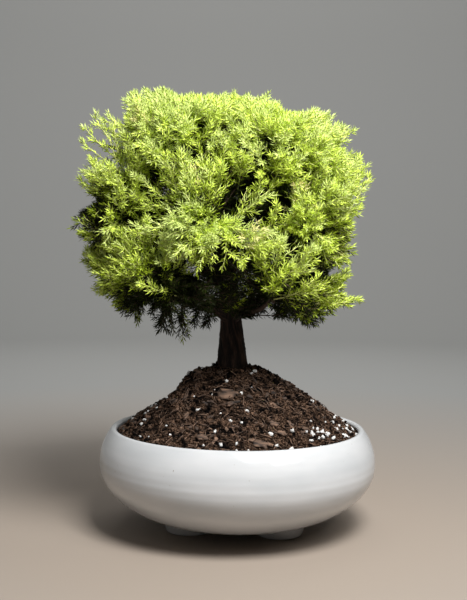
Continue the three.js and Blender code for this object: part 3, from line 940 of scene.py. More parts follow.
def foot_shape(azimuth):
    """A squat stub: a round foot whose wall leans out until it meets the bowl, found by halving, and then
    spreads into a small fillet under it."""
    columns, rows = 96, 22
    turn = round_steps(columns)
    side = math.radians(azimuth)
    middle = np.array([math.sin(side), -math.cos(side)]) * FOOT_CIRCLE
    around = np.stack([np.cos(turn), np.sin(turn)], axis=-1)
    low, high = np.zeros(columns), np.ones(columns)
    for _ in range(24):
        half = (low + high) / 2.0
        distance = np.linalg.norm(middle + around * foot_radius(half)[:, None], axis=-1)
        meets = half * FOOT_STUB > underside_height(distance)
        low, high = np.where(meets, low, half), np.where(meets, half, high)
    climb = np.linspace(0.0, 1.0, rows)[:, None]
    share = climb * (high + FOOT_OVERLAP / FOOT_STUB)
    below = np.clip((high - share) * FOOT_STUB / FILLET_HEIGHT, 0.0, 1.0)
    rounded = np.clip(share * FOOT_STUB / FOOT_ROUND, 0.0, 1.0)
    rounded = np.sqrt(np.clip(1.0 - (1.0 - rounded) ** 2, 0.0, 1.0))
    radius = foot_radius(share) - FOOT_ROUND * (1.0 - rounded) + FILLET_SPREAD * (1.0 - below) ** 2
    x, y = middle[0] + radius * np.cos(turn), middle[1] + radius * np.sin(turn)
    skin = np.stack([x, y, share * FOOT_STUB], axis=-1)
    base = POT_AXIS + (*middle, 0.0)
    top = base + (0.0, 0.0, underside_height(FOOT_CIRCLE) + 2.0 * FOOT_OVERLAP)
    return shells((skin + POT_AXIS)[None], base[None], top[None])


# The soil

def mound_height(x, y):
    """Height of the mound at x, y from the axis: a straight cone from the wall to a flat top, waves round
    it that fade at both ends, a heap on the left, and a low collar pressed against the trunk."""
    distance = np.hypot(x, y)
    angle = np.arctan2(y, x)
    share = np.clip((SOIL_EDGE_RADIUS - distance) / (SOIL_EDGE_RADIUS - MOUND_TOP_RADIUS), 0.0, 1.0)
    cone = SOIL_EDGE_HEIGHT + (GROUND_HEIGHT - SOIL_EDGE_HEIGHT) * share
    waves = np.sin(2 * angle + 1.1) + 0.6 * np.sin(5 * angle + 4 * share)
    waves = waves + 0.5 * np.sin(3 * angle - 6 * share)
    spread = np.where(x < HEAP_X, HEAP_EDGE, HEAP_SPREAD)
    heap = np.exp(-(((x - HEAP_X) / spread) ** 2) - ((y - HEAP_Y) / HEAP_SPREAD) ** 2)
    collar = np.exp(-((np.hypot(x - TRUNK_X, y) - COLLAR_RADIUS) / COLLAR_WIDTH) ** 2)
    return cone + MOUND_UNEVEN * waves * np.sin(math.pi * share) + HEAP_RISE * heap + COLLAR_RISE * collar


def ground_height(x, y, clod):
    """The mound with clods on it: layered hills, sharpened upwards, that fade at the wall."""
    place = np.stack([x, y, np.zeros_like(x)], axis=-1)
    clods = layered_hills(place / CLOD_SPACING, SEED + 10, 4)
    clods = clods + 0.5 * np.abs(hills(place / SMALL_CLOD_SPACING, SEED + 20))
    edge = np.clip((SOIL_EDGE_RADIUS - np.hypot(x, y)) / CLOD_FADE, 0.15, 1.0)
    return mound_height(x, y) + clod * clods * edge


def soil_shape(settings):
    """The mound over a polar grid, closed by a skirt down the wall and a flat underside."""
    columns, skirt = 400, np.linspace(SKIRT_TOP, SKIRT_FOOT, 4)[:, None] * MM
    distance = np.linspace(0.0, SOIL_EDGE_RADIUS, 170)[1:]
    distance = np.append(distance, np.full(len(skirt), SOIL_EDGE_RADIUS))
    turn = round_steps(columns)
    x, y = distance[:, None] * np.cos(turn), distance[:, None] * np.sin(turn)
    z = ground_height(x, y, settings.clod)
    z[-len(skirt):] -= skirt
    skin = (np.stack([x, y, z], axis=-1) + POT_AXIS)[::-1]
    low = POT_AXIS + (0.0, 0.0, SOIL_EDGE_HEIGHT - SKIRT_FOOT * MM)
    high = POT_AXIS + (0.0, 0.0, ground_height(np.zeros(1), np.zeros(1), settings.clod)[0])
    return shells(skin[None], low[None], high[None])


def on_mound(distance, angle, clod, spin, lift, tilt):
    """Places above the mound's surface by lift, and frames that lie along its slope, turned by spin and
    tipped by tilt."""
    x, y = distance * np.cos(angle), distance * np.sin(angle)
    slope_x = (mound_height(x + SLOPE_STEP, y) - mound_height(x - SLOPE_STEP, y)) / (2.0 * SLOPE_STEP)
    slope_y = (mound_height(x, y + SLOPE_STEP) - mound_height(x, y - SLOPE_STEP)) / (2.0 * SLOPE_STEP)
    tip_x, tip_y = tilt * np.cos(5.0 * spin), tilt * np.sin(5.0 * spin)
    normal = unit(np.stack([-slope_x + tip_x, -slope_y + tip_y, np.ones_like(x)], axis=-1))
    along = np.stack([np.cos(spin), np.sin(spin), np.zeros_like(spin)], axis=-1)
    along = unit(along - normal * np.sum(along * normal, axis=-1, keepdims=True))
    frames = np.stack([along, np.cross(normal, along), normal], axis=-1)
    place = np.stack([x, y, ground_height(x, y, clod) + lift], axis=-1) + POT_AXIS
    return place, frames


def strewn(count, rng, inner, outer):
    """Random distances and angles spread evenly over a ring of ground."""
    distance = np.sqrt(rng.uniform(inner**2, outer**2, count))
    return distance, rng.uniform(0.0, 2.0 * math.pi, count)


def crumb_shape(settings):
    """Loose crumbs of soil all over the mound."""
    rng = np.random.default_rng(SEED + 1)
    count = settings.crumbs
    distance, angle = strewn(count, rng, inner=13.0 * MM, outer=86.0 * MM)
    sizes = rng.uniform(0.5, 1.0, (count, 1)) ** 2 * rng.uniform(0.7, 1.3, (count, 3)) * 1.7 * MM
    spin = rng.uniform(*ANY_TURN, count)
    place, frames = on_mound(distance, angle, settings.clod, spin, lift=0.2 * MM, tilt=0.6)
    return lumps(place, frames, sizes, rng, rows=3, columns=6, rough=0.28, square=0.9)


def grain_shape(settings):
    """White perlite grains: most all over, some in a ring along the wall and in patches by the right of the
    wall."""
    rng = np.random.default_rng(SEED + 2)
    count = settings.grains
    distance, angle = strewn(count, rng, inner=17.0 * MM, outer=86.0 * MM)
    group = rng.uniform(0.0, 1.0, count)
    spread = rng.normal(0.0, 1.0, (2, count))
    distance = np.where(group < WALL_GRAINS, rng.uniform(76.0, 86.0, count) * MM, distance)
    for first, last, middle, side, wide in GRAIN_PATCHES:
        patch = (group >= first) & (group < last)
        distance = np.where(patch, (middle + 2.6 * spread[0]).clip(0.0, 85.5) * MM, distance)
        angle = np.where(patch, np.radians(side + wide * spread[1]), angle)
    sizes = rng.uniform(0.6, 1.0, (count, 1)) ** 2 * rng.uniform(0.6, 1.4, (count, 3)) * 1.5 * MM
    spin = rng.uniform(*ANY_TURN, count)
    place, frames = on_mound(distance, angle, settings.clod, spin, lift=0.7 * MM, tilt=0.8)
    return lumps(place, frames, sizes, rng, rows=4, columns=8, rough=0.36, square=0.7)


def chip_shape(settings, first, last, longest):
    """Flat chips of bark that lie on the slope, a share of the whole number from first to last."""
    rng = np.random.default_rng(SEED + 3 + int(first * 10))
    count = int(settings.chips * (last - first))
    distance, angle = strewn(count, rng, inner=18.0 * MM, outer=84.0 * MM)
    width = rng.uniform(0.45, 1.0, count) * longest
    depth = width * rng.uniform(0.35, 0.7, count)
    sizes = np.stack([width, depth, rng.uniform(0.35, 0.8, count) * MM], axis=-1)
    spin = rng.uniform(*ANY_TURN, count)
    place, frames = on_mound(distance, angle, settings.clod, spin, lift=0.6 * MM, tilt=0.5)
    return lumps(place, frames, sizes, rng, rows=4, columns=8, rough=0.22, square=0.6)


def large_chip_shape(settings):
    """The large chips at their own places, flat on the slope, each a boxy lump with a ragged edge."""
    rng = np.random.default_rng(SEED + 5)
    distance, angle, width = np.array(LARGE_CHIPS).T
    sizes = np.stack([width, width * 0.62, np.full(len(width), 1.1)], axis=-1) * MM
    distance, angle, spin = distance * MM, np.radians(angle), rng.uniform(-0.5, 0.5, len(width))
    place, frames = on_mound(distance, angle, settings.clod, spin, lift=0.9 * MM, tilt=0.2)
    return lumps(place, frames, sizes, rng, rows=5, columns=14, rough=0.34, square=0.6)


def fibre_shape(settings):
    """Thin fibres and roots lying on the mound, each a shallow arc."""
    rng = np.random.default_rng(SEED + 4)
    count = settings.fibres
    distance, angle = strewn(count, rng, inner=16.0 * MM, outer=84.0 * MM)
    spin = rng.uniform(*ANY_TURN, count)
    place, frames = on_mound(distance, angle, settings.clod, spin, lift=0.5 * MM, tilt=0.3)
    share = np.linspace(-0.5, 0.5, 5)
    length = rng.uniform(3.0, 10.0, count) * MM
    sway = rng.uniform(-0.25, 0.25, count)
    rise = rng.uniform(-0.1, 0.35, count)
    arc = np.stack([np.broadcast_to(share, (count, len(share))), share**2 * sway[:, None],
                    (0.25 - share**2) * rise[:, None]], axis=-1)
    paths = np.einsum("nij,nkj->nki", frames, arc * length[:, None, None]) + place[:, None]
    radii = rng.uniform(0.15, 0.40, count)[:, None, None] * FIBRE_TAPER * MM
    return tubes(paths, radii, 4)


# The tree

class Masses(NamedTuple):
    """The crown's foliage masses, one row each: name, middle, ball size, and the height and radius of the
    limb."""
    names: list
    middles: np.ndarray
    sizes: np.ndarray
    forks: np.ndarray
    limbs: np.ndarray


class Twigs(NamedTuple):
    """Twigs of one order, one row each: from start along heading, curving by bend, for a length, in a
    mass."""
    start: np.ndarray
    heading: np.ndarray
    bend: np.ndarray
    length: np.ndarray
    mass: np.ndarray


class Crown(NamedTuple):
    """All that grows in the crown: twigs, inner plumes, outer plumes and sprigs, the light on outer plumes
    and on sprigs, and the number of each sprig's plume."""
    twigs: Twigs
    inner: Twigs
    plumes: Twigs
    sprigs: Twigs
    light: np.ndarray
    sprig_light: np.ndarray
    parent: np.ndarray


def trunk_path(shares):
    """The trunk's middle line: upright at its foot, then swaying over to its tip."""
    low = (0.0, 0.0, 0.0), (0.0, 0.0, TRUNK_HEIGHT / 3.0)
    high = (TRUNK_LEAN, TRUNK_SWAY, TRUNK_HEIGHT * 2.0 / 3.0), (TRUNK_LEAN, -TRUNK_SWAY, TRUNK_HEIGHT)
    return blended_curve(np.array([*low, *high]), shares)


def mass_middle(azimuth, reach, height, shift):
    """Where a mass stands: out from the crown's axis by reach at an azimuth from the front, higher on the
    left."""
    side = math.radians(azimuth)
    x = CROWN_X / MM + reach * math.sin(side) + shift
    return np.array([x, -reach * math.cos(side), height - CROWN_TILT / MM * math.sin(side)]) * MM


def crown_masses():
    """The masses of each tier in turn, the one at the left tip and the one at the top."""
    rows = []
    for tier in TIERS:
        for i in range(tier.count):
            stagger = TIER_STAGGER if i % 2 else -TIER_STAGGER
            azimuth = tier.turn + 360.0 * i / tier.count
            middle = mass_middle(azimuth, tier.reach, tier.height + stagger, tier.shift)
            rows.append((f"{tier.name}_{i + 1}", middle, tier.size, tier.fork + stagger, tier.limb))
    tip = LEFT_TIP
    tip_middle = mass_middle(tip.turn, tip.reach, tip.height, tip.shift)
    rows.append((tip.name, tip_middle, tip.size, tip.fork, tip.limb))
    top_middle = mass_middle(0.0, 0.0, CROWN_TOP_HEIGHT, 0.0)
    rows.append(("top", top_middle, CROWN_TOP_SIZE, TRUNK_HEIGHT / MM, TRUNK_TIP_RADIUS / MM / LIMB_TAPER))
    names, middles, sizes, forks, limbs = zip(*rows)
    sizes, forks, limbs = (np.array(column) * MM for column in (sizes, forks, limbs))
    return Masses(list(names), np.array(middles), sizes, forks, limbs)


def crown_parts(points):
    """How far out a point lies in the crown, sideways and upright, as shares of its half width and half
    height."""
    x = (points[..., 0] - CROWN_X) / CROWN_HALF_WIDTH
    level = np.hypot(x, points[..., 1] / CROWN_HALF_DEPTH)
    return level, np.abs(points[..., 2] - CROWN_MIDDLE + CROWN_TILT * x) / CROWN_HALF_HEIGHT


def crown_share(points):
    """How far out a point lies in the crown's envelope, a blocky ellipsoid that stands higher on the left:
    one on its surface."""
    level, upright = crown_parts(points)
    return (level**CROWN_SQUARENESS + upright**CROWN_SQUARENESS) ** (1.0 / CROWN_SQUARENESS)


def wrapped(angles, degrees):
    """Angles from a direction given in degrees, between minus and plus half a turn."""
    return (angles - math.radians(degrees) + math.pi) % (2.0 * math.pi) - math.pi


def patches(points, rows):
    """The sum of smooth patches on the crown's surface: each fades by a bell curve across its azimuth and
    height."""
    azimuth = np.arctan2(points[..., 0] - CROWN_X, -points[..., 1])
    total = np.zeros(points.shape[:-1])
    for side, height, wide, tall, amount in rows:
        across = wrapped(azimuth, side) * CROWN_HALF_DEPTH / (wide * MM)
        total += amount * np.exp(-(across**2) - ((points[..., 2] - height * MM) / (tall * MM)) ** 2)
    return total


def crown_edge(points):
    """Where plumes end, as a share of the envelope: near one, uneven by slow hills, with smooth dents for
    the dark hollows between the ledges, and with the dents and tufts of the outline, which fade towards
    front and back. At the back it is rounder and more uneven."""
    behind = np.clip((points[..., 1] - BACK_START) / BACK_FADE, 0.0, 1.0)
    corner = np.clip(np.prod(crown_parts(points), axis=0) / CORNER_SHARE, 0.0, 1.0) ** 2
    uneven = (EDGE_UNEVEN + BACK_UNEVEN * behind) * hills(points / EDGE_HILLS, SEED + 40)
    edge = EDGE_SHARE + uneven - BACK_ROUNDING * behind * corner - patches(points, HOLLOWS)
    around = np.arctan2(points[..., 2] - CROWN_MIDDLE, points[..., 0] - CROWN_X)
    sideways = np.clip(crown_share(points * (1.0, 0.0, 1.0)), 0.0, 1.0) ** OUTLINE_FADE
    for angle, wide, amount in OUTLINE:
        edge = edge + amount * sideways * np.exp(-((wrapped(around, angle) / math.radians(wide)) ** 2))
    return edge


def in_own_space(masses, points, mass):
    """True where a point is in its mass's ball, in the envelope, and on its own side of every neighbour."""
    apart = np.linalg.norm(points[:, None] - masses.middles, axis=-1)
    power = apart**2 - masses.sizes**2
    own = np.take_along_axis(power, mass[:, None], axis=1)
    between = np.linalg.norm(masses.middles[:, None] - masses.middles, axis=-1)[mass]
    between[np.arange(len(mass)), mass] = np.nan
    beaten = (power - own) / (2.0 * between) <= SPACE_MARGIN
    return (own[:, 0] <= 0.0) & (crown_share(points) < 1.0) & ~beaten.any(axis=1)


def own_reach(masses, mass, headings):
    """How far a mass's own space goes from its middle along each heading, by halving."""
    low, high = np.zeros(len(mass)), masses.sizes[mass].copy()
    for _ in range(12):
        half = (low + high) / 2.0
        inside = in_own_space(masses, masses.middles[mass] + headings * half[:, None], mass)
        low, high = np.where(inside, half, low), np.where(inside, high, half)
    return low


def limb_paths(masses, points):
    """Each bough's arched path from the trunk to its mass's edge, and the stem that runs on to the mass's
    middle."""
    count = len(masses.names)
    forks = trunk_path(masses.forks / TRUNK_HEIGHT)
    inwards = unit(forks - masses.middles)
    entry = masses.middles + inwards * (own_reach(masses, np.arange(count), inwards) * MASS_ENTRY)[:, None]
    entry[-1] = forks[-1]
    rise = np.linalg.norm(entry - forks, axis=-1) * LIMB_ARCH
    bend = (forks + entry) / 2.0 + UP * rise[:, None]
    share = np.linspace(0.0, 1.0, points)
    boughs = np.stack([blended_curve(knots, share) for knots in zip(forks[:-1], bend[:-1], entry[:-1])])
    outwards = unit(entry - bend + UP * 1e-9)
    outwards[-1] = UP
    far = np.linalg.norm(masses.middles - entry, axis=-1)
    elbow = entry + outwards * (far / 2.0)[:, None]
    stems = np.stack([blended_curve(knots, share) for knots in zip(entry, elbow, masses.middles)])
    return boughs, stems


def bark_ridges(paths, sides, spacing, length):
    """Height from 0 to 1 of long bark ridges on limbs: hills stretched along the limb, folded into sharp
    ridges."""
    turn = round_steps(sides)
    step = np.linalg.norm(np.diff(paths, axis=1), axis=-1)
    run = np.concatenate([np.zeros((len(paths), 1)), np.cumsum(step, axis=1)], axis=1)
    limb = np.arange(len(paths))[:, None, None] * BARK_STEP
    twist = turn + BARK_TWIST * run[..., None] / length
    place = np.stack(np.broadcast_arrays(np.cos(twist) * spacing + limb, np.sin(twist) * spacing,
                                         run[..., None] / length), axis=-1)
    broad = 1.0 - np.abs(hills(place, SEED + 30))
    fine = 1.0 - np.abs(hills(place * (2.3, 2.3, 1.6), SEED + 31))
    return 0.65 * broad**2 + 0.35 * fine**2


def with_poles(values):
    """A value for each point of tubes, with the mean of the end rings for their poles."""
    ends = np.stack([values[:, 0].mean(axis=-1), values[:, -1].mean(axis=-1)], axis=1)
    return np.concatenate([values.reshape(len(values), -1), ends], axis=1)


def trunk_shape(settings):
    """The trunk along its path: a radius that thins towards the tip, spreads into lobes at the ground, and
    carries the bark's ridges."""
    rows, sides = 190, 96
    share = np.linspace(0.0, 1.0, rows)
    path = trunk_path(share)
    path[0, 2] -= TRUNK_SINK
    turn = round_steps(sides)
    thin = np.clip(share - TAPER_START, 0.0, 1.0) / (1.0 - TAPER_START)
    spread = np.clip(1.0 - share * TRUNK_HEIGHT / FLARE_HEIGHT, 0.0, 1.0)[:, None]
    radius = (TRUNK_RADIUS + (TRUNK_TIP_RADIUS - TRUNK_RADIUS) * thin)[:, None]
    radius = radius + TRUNK_FLARE * spread * (1.0 + LOBE_DEPTH * spread * np.sin(ROOT_LOBES * turn))
    ridges = bark_ridges(path[None], sides, *TRUNK_RIDGES)
    radius = radius[None] + settings.depth * (ridges - 0.2) * radius[None] / TRUNK_RADIUS
    return tubes(path[None] + TRUNK_FOOT, radius, sides), with_poles(ridges)


def bough_shape(settings, paths, limb):
    """A bough along its arched path, thinning towards its mass, with the bark's ridges."""
    sides = 24
    share = np.linspace(1.0, LIMB_TAPER, paths.shape[1])[:, None]
    ridges = bark_ridges(paths, sides, *BOUGH_RIDGES)
    radius = limb * share * (1.0 + settings.depth / TRUNK_RADIUS * 1.4 * (ridges - 0.7))
    return tubes(paths + TRUNK_FOOT, radius, sides), with_poles(ridges)


# The foliage

def twig_points(twigs, shares):
    """Points along twigs: start + length (s heading + s^2/2 bend) at each share s."""
    run = shares[..., None] * twigs.heading[:, None] + shares[..., None] ** 2 / 2.0 * twigs.bend[:, None]
    return twigs.start[:, None] + twigs.length[:, None, None] * run


def even_shares(twigs, points):
    """Shares from foot to tip at even steps, one row for each twig."""
    return np.broadcast_to(np.linspace(0.0, 1.0, points), (len(twigs.mass), points))


def twig_headings(twigs, shares):
    """Directions along twigs: heading + s bend."""
    return unit(twigs.heading[:, None] + shares[..., None] * twigs.bend[:, None])


def twig_tips(twigs):
    """The far ends of twigs."""
    return twigs.start + twigs.length[:, None] * (twigs.heading + twigs.bend / 2.0)


def opened(along, opening, turns):
    """Headings opened from along by an angle, after a turn round it that starts square to it and level."""
    guide = np.where(np.abs(along[..., 2:]) < 0.9, (0.0, 0.0, 1.0), (1.0, 0.0, 0.0))
    side = unit(np.cross(along, guide))
    return swung(along, swung(side, np.cross(along, side), turns), opening)


def spiral(rows, count, rng):
    """Turns at golden steps from a random start, one row for each parent."""
    return np.arange(count) * GOLDEN_TURN + rng.uniform(*ANY_TURN, (rows, 1))


def limb_twigs(paths):
    """Boughs as twigs: an arched path is the parabola through its two ends and its middle."""
    start, middle, end = paths[:, 0], paths[:, paths.shape[1] // 2], paths[:, -1]
    bend = 4.0 * (start - 2.0 * middle + end)
    count = len(paths)
    return Twigs(start, end - start - bend / 2.0, bend, np.ones(count), np.arange(count))


def first_twigs(masses, settings, rng):
    """Twigs from each mass's stem: an even spiral of directions over the ball, lifted towards the light."""
    count = settings.twigs
    level = 1.0 - 2.0 * (np.arange(count) + 0.5) / count
    turn = spiral(len(masses.names), count, rng)
    flat = np.sqrt(1.0 - level**2)
    parts = np.broadcast_arrays(flat * np.cos(turn), flat * np.sin(turn), level + TWIG_LIFT)
    headings = np.stack(parts, axis=-1)
    headings = unit(headings + rng.normal(0.0, 0.10, headings.shape)).reshape(-1, 3)
    mass = np.repeat(np.arange(len(masses.names)), count)
    reach = own_reach(masses, mass, headings)
    middle = masses.middles[mass]
    start = middle - headings * (reach * rng.uniform(*TWIG_START, len(mass)))[:, None]
    target = middle + headings * (reach * rng.uniform(*TWIG_END, len(mass)))[:, None]
    length = np.linalg.norm(target - start, axis=-1)
    bend = UP * TWIG_CURVE + rng.normal(0.0, 0.12, headings.shape)
    heading = (target - start) / length[:, None] - bend / 2.0
    twigs = Twigs(start, heading, bend, length, mass)
    return grown_to_edge(masses, twigs, LEAST_TWIG, np.full(len(mass), TWIG_SPARE))[0]


def chosen(twigs, kept):
    """The twigs for which kept is true."""
    return Twigs(*(values[kept] for values in twigs))


def both(first, second):
    """Two sets of twigs in one."""
    return Twigs(*(np.concatenate(pair) for pair in zip(first, second)))


def side_twigs(parents, count, growth, longest, rng):
    """Twigs that leave each parent in a spiral, opened by an angle that closes towards its tip, then
    curving on along the parent and up; then the number of each one's parent and how far along it starts."""
    size = (len(parents.mass), count)
    shares = np.linspace(*growth.shares, count) + rng.uniform(*growth.jitter, size)
    turns = spiral(*size, rng)
    opening = np.radians(np.linspace(*growth.opening, count)) + rng.normal(0.0, OPENING_SPREAD, size)
    length = longest * np.linspace(1.0, growth.taper, count) * rng.uniform(*growth.lengths, size)
    start = twig_points(parents, shares)
    along = twig_headings(parents, shares)
    bend = along * SIDE_CURVE + UP * SIDE_LIFT + rng.normal(0.0, 0.10, along.shape)
    heading = unit(opened(along, opening, turns)) - bend / 3.0
    start, heading, bend = (values.reshape(-1, 3) for values in (start, heading, bend))
    twigs = Twigs(start, heading, bend, length.ravel(), np.repeat(parents.mass, count))
    return twigs, np.repeat(np.arange(size[0]), count), shares.ravel()


def grown_to_edge(masses, twigs, least, spare):
    """Twigs shortened to where they first pass the crown's edge or leave their own mass, with some to
    spare; those that would be shorter than least are dropped."""
    factors = np.append(np.linspace(1.0, 0.2, 17), 0.0)
    reach = (twigs.heading + twigs.bend / 2.0) * twigs.length[:, None]
    tips = twigs.start[:, None] + reach[:, None] * factors[:, None]
    middle, size = masses.middles[twigs.mass][:, None], masses.sizes[twigs.mass][:, None]
    out = np.linalg.norm(tips - middle, axis=-1) / size
    fits = (np.maximum(out / 1.2, crown_share(tips)) < crown_edge(tips) + spare[:, None]) | (factors == 0.0)
    fits = np.logical_and.accumulate(fits[:, ::-1], axis=1)[:, ::-1]
    length = twigs.length * factors[np.argmax(fits, axis=1)]
    kept = length > least
    return chosen(twigs._replace(length=length), kept), kept


def plume_twigs(masses, parents, settings, rng):
    """Plumes that fork off in a spiral along each twig and from its tip, lean outwards from the heart of
    the crown, and grow until they reach its surface; those that stay inside come second, and last how many
    each twig has."""
    plumes, parent, _ = side_twigs(parents, settings.plumes, PLUMES, settings.plume, rng)
    outwards = unit(plumes.start - CROWN_HEART)
    climb = np.clip((plumes.start[:, 2:] - CLIMB_START) / CLIMB_FADE, 0.0, 1.0) * UP
    heading = unit(plumes.heading + PLUME_OUTWARDS * outwards + PLUME_UPWARDS * climb)
    plumes = plumes._replace(heading=heading - plumes.bend / 3.0)
    spare = rng.normal(-0.02, 0.035, len(plumes.mass))
    longer = rng.uniform(size=len(spare)) < LONG_PLUMES
    spare = spare + np.where(longer, rng.uniform(0.02, 0.06, len(spare)), 0.0)
    plumes, long_enough = grown_to_edge(masses, plumes, PLUMES.least, spare)
    tips = twig_tips(plumes)
    sparse = (tips[:, 0] < OPEN_LEFT_X) & (tips[:, 2] > OPEN_LEFT_HEIGHT)
    kept = ~sparse | (rng.uniform(size=len(sparse)) < OPEN_LEFT_KEPT)
    kept &= ~crosses_gap(twig_points(plumes, even_shares(plumes, 7)))
    outer = crown_share(tips) > INNER_PLUME_SHARE
    carried = np.bincount(parent[long_enough][kept], minlength=len(parents.mass))
    return chosen(plumes, kept & outer), chosen(plumes, kept & ~outer), carried


def leading_plumes(masses, rng):
    """The plumes that stand out from the crown, as twigs of the nearest mass, and the light on them."""
    light = np.concatenate([np.full(len(rows), light) for light, rows in LEADERS])
    foot, tip = np.array([row for _, rows in LEADERS for row in rows]).transpose(1, 0, 2)
    start, run = foot * MM, (tip - foot) * MM
    mass = np.argmin(np.linalg.norm(start[:, None] - masses.middles, axis=-1), axis=1)
    length = np.linalg.norm(run, axis=-1)
    bend = UP * 0.2 + rng.normal(0.0, 0.08, run.shape)
    return Twigs(start, run / length[:, None] - bend / 2.0, bend, length, mass), light


def crosses_gap(paths):
    """True for paths that cross a gap in the crown: points seen from the eye and carried to the trunk's
    depth, within a gap's radius."""
    eye = EYE - (TRUNK_X, 0.0, GROUND_HEIGHT)
    seen = eye + (paths - eye) * (eye[1] / (eye[1] - paths[..., 1]))[..., None]
    gaps = np.array(GAPS) * MM
    apart = np.hypot(seen[..., 0, None] - gaps[:, 0], seen[..., 2, None] - gaps[:, 1])
    return (apart < gaps[:, 2]).any(axis=(1, 2))


def sprig_twigs(masses, plumes, longest, spare, settings, rng):
    """Sprigs along the outer part of each plume in a spiral, shorter towards its tip, that may pass the
    crown's edge by spare; then the plume that each is on and how far along it."""
    sprigs, parent, along = side_twigs(plumes, settings.sprigs, SPRIGS, longest * settings.sprig, rng)
    sprigs, kept = grown_to_edge(masses, sprigs, SPRIGS.least, np.full(len(sprigs.mass), spare))
    clear = ~crosses_gap(twig_points(sprigs, even_shares(sprigs, 4)))
    return chosen(sprigs, clear), parent[kept][clear], along[kept][clear]


def needle_points(twigs, kind, settings, rng):
    """Needles on twigs in whorls of three from a first share to the tip: each is a lance with a foot, two
    sides set back into a keel, and a point, opened wide at the twig's foot and closing towards its tip.
    Corners are (twig, needle, corner, xyz)."""
    count = kind.count
    length, width = kind.length * settings.needle, kind.width * settings.needle_width
    whorl = np.arange(count) // 3
    shares = kind.first + (1.0 - kind.first) * (whorl + 0.5) / (whorl.max() + 0.7)
    shares = shares + rng.uniform(-0.02, 0.02, (len(twigs.mass), count))
    foot = twig_points(twigs, shares)
    along = twig_headings(twigs, shares)
    turns = np.arange(count) * 2.0 * math.pi / 3.0 + whorl * math.pi / 3.0
    turns = turns + rng.uniform(*ANY_TURN, (len(twigs.mass), 1)) + rng.normal(0.0, 0.2, shares.shape)
    opening = np.radians(kind.opening - 0.45 * kind.opening * shares)
    heading = opened(along, opening + rng.normal(0.0, OPENING_SPREAD, shares.shape), turns)
    run = heading * (length * (1.0 - 0.3 * shares) * rng.uniform(0.75, 1.15, shares.shape))[..., None]
    across = unit(np.cross(along, heading)) * width / 2.0
    waist = foot + 0.4 * run + np.cross(across, heading) * 0.7
    return np.stack([foot, waist - across, waist + across, foot + run], axis=2), shares


def add_needles(tone, corners, finish):
    """Pieces of needles in one tone, each with no more needles than a piece may have."""
    pieces = max(1, math.ceil(len(corners) / PIECE_NEEDLES))
    for i, part in enumerate(np.array_split(corners, pieces), start=1):
        faces = NEEDLE_FACES[None] + (np.arange(len(part)) * 4)[:, None, None]
        shape = part.reshape(-1, 3) + TRUNK_FOOT, faces.reshape(-1, 3)
        add_piece(f"needles_{tone}_{i}", "foliage", FOLIAGE_NODES, shape, finish, smooth=False)


def lit(masses, twigs, rng):
    """How much light reaches a twig's tip, from 0 in the crown's heart to about 2.5 on its top: more
    further out in the crown and in its mass, less in the patches of shade and where the crown's surface
    looks down."""
    tips = twig_tips(twigs)
    out = np.linalg.norm(tips - masses.middles[twigs.mass], axis=-1) / masses.sizes[twigs.mass]
    crown = np.clip((crown_share(tips) - LIGHT_START) / LIGHT_FADE, 0.0, 1.15)
    away = (tips - (CROWN_X, 0.0, CROWN_MIDDLE)) / (CROWN_HALF_WIDTH, CROWN_HALF_DEPTH, CROWN_HALF_HEIGHT)
    facing = np.clip(unit(away * np.abs(away))[:, 2], -1.0, 0.6)
    facing = facing - UNDERSIDE_SHADE * np.clip(UNDERSIDE_FACING - facing, 0.0, 0.25)
    mass = np.clip((out - MASS_LIGHT_START) / MASS_LIGHT_FADE, 0.0, 1.0)
    light = 2.0 * crown + 0.6 * mass + 0.9 * facing - patches(tips, SHADES)
    return light + rng.normal(0.0, 0.4, len(tips))


def needle_tones(light, shares, corners, rng):
    """The tone of each needle, 0 to 3, as painted light and shade: its twig's light, lighter towards the
    twig's tip, partly the young growth's own colour, and lighter where it points up towards the lamps, as
    painted light."""
    run = corners[:, :, 3] - corners[:, :, 0]
    rise = run[..., 2] / np.linalg.norm(run, axis=-1)
    tone = light[:, None] + 0.9 * shares + 0.45 * rise + rng.normal(0.0, 0.18, shares.shape) - 0.55
    return np.clip(np.floor(tone), 0, STRAW_TONE - 1)


def twig_tubes(twigs, girth, points, sides, stout=1.0):
    """Tubes along twigs that thin from foot to tip radius."""
    foot, tip = (radius * MM * stout for radius in girth)
    shares = even_shares(twigs, points)
    radii = foot + (tip - foot) * shares
    return tubes(twig_points(twigs, shares) + TRUNK_FOOT, radii[..., None], sides)


def joined(*shapes):
    """Several shapes in one mesh."""
    counts = np.cumsum([0] + [len(points) for points, _ in shapes[:-1]])
    points = np.concatenate([points for points, _ in shapes])
    return points, np.concatenate([faces + start for (_, faces), start in zip(shapes, counts)])


def grown_crown(masses, settings, rng):
    """Grows the crown from its masses: twigs, plumes and sprigs, then the leading plumes with their own
    sprigs, and the light on each."""
    twigs = first_twigs(masses, settings, rng)
    plumes, inner, carried = plume_twigs(masses, twigs, settings, rng)
    twigs = chosen(twigs, (twigs.mass != masses.names.index(LEFT_TIP.name)) | (carried > 1))
    light = lit(masses, plumes, rng)
    sprigs, parent, along = sprig_twigs(masses, plumes, *PLUME_SPRIGS, settings, rng)
    own_rng = np.random.default_rng(SEED + 6)
    leaders, leader_light = leading_plumes(masses, own_rng)
    leader_sprigs, leader, leader_along = sprig_twigs(masses, leaders, *LEADER_SPRIGS, settings, own_rng)
    parent = np.concatenate([parent, leader + len(light)])
    along = np.concatenate([along, leader_along])
    light = np.concatenate([light, leader_light])
    sprig_light = light[parent] + 0.9 * (along - 0.5) + rng.normal(0.0, 0.35, len(parent))
    return Crown(twigs, inner, both(plumes, leaders), both(sprigs, leader_sprigs), light, sprig_light, parent)


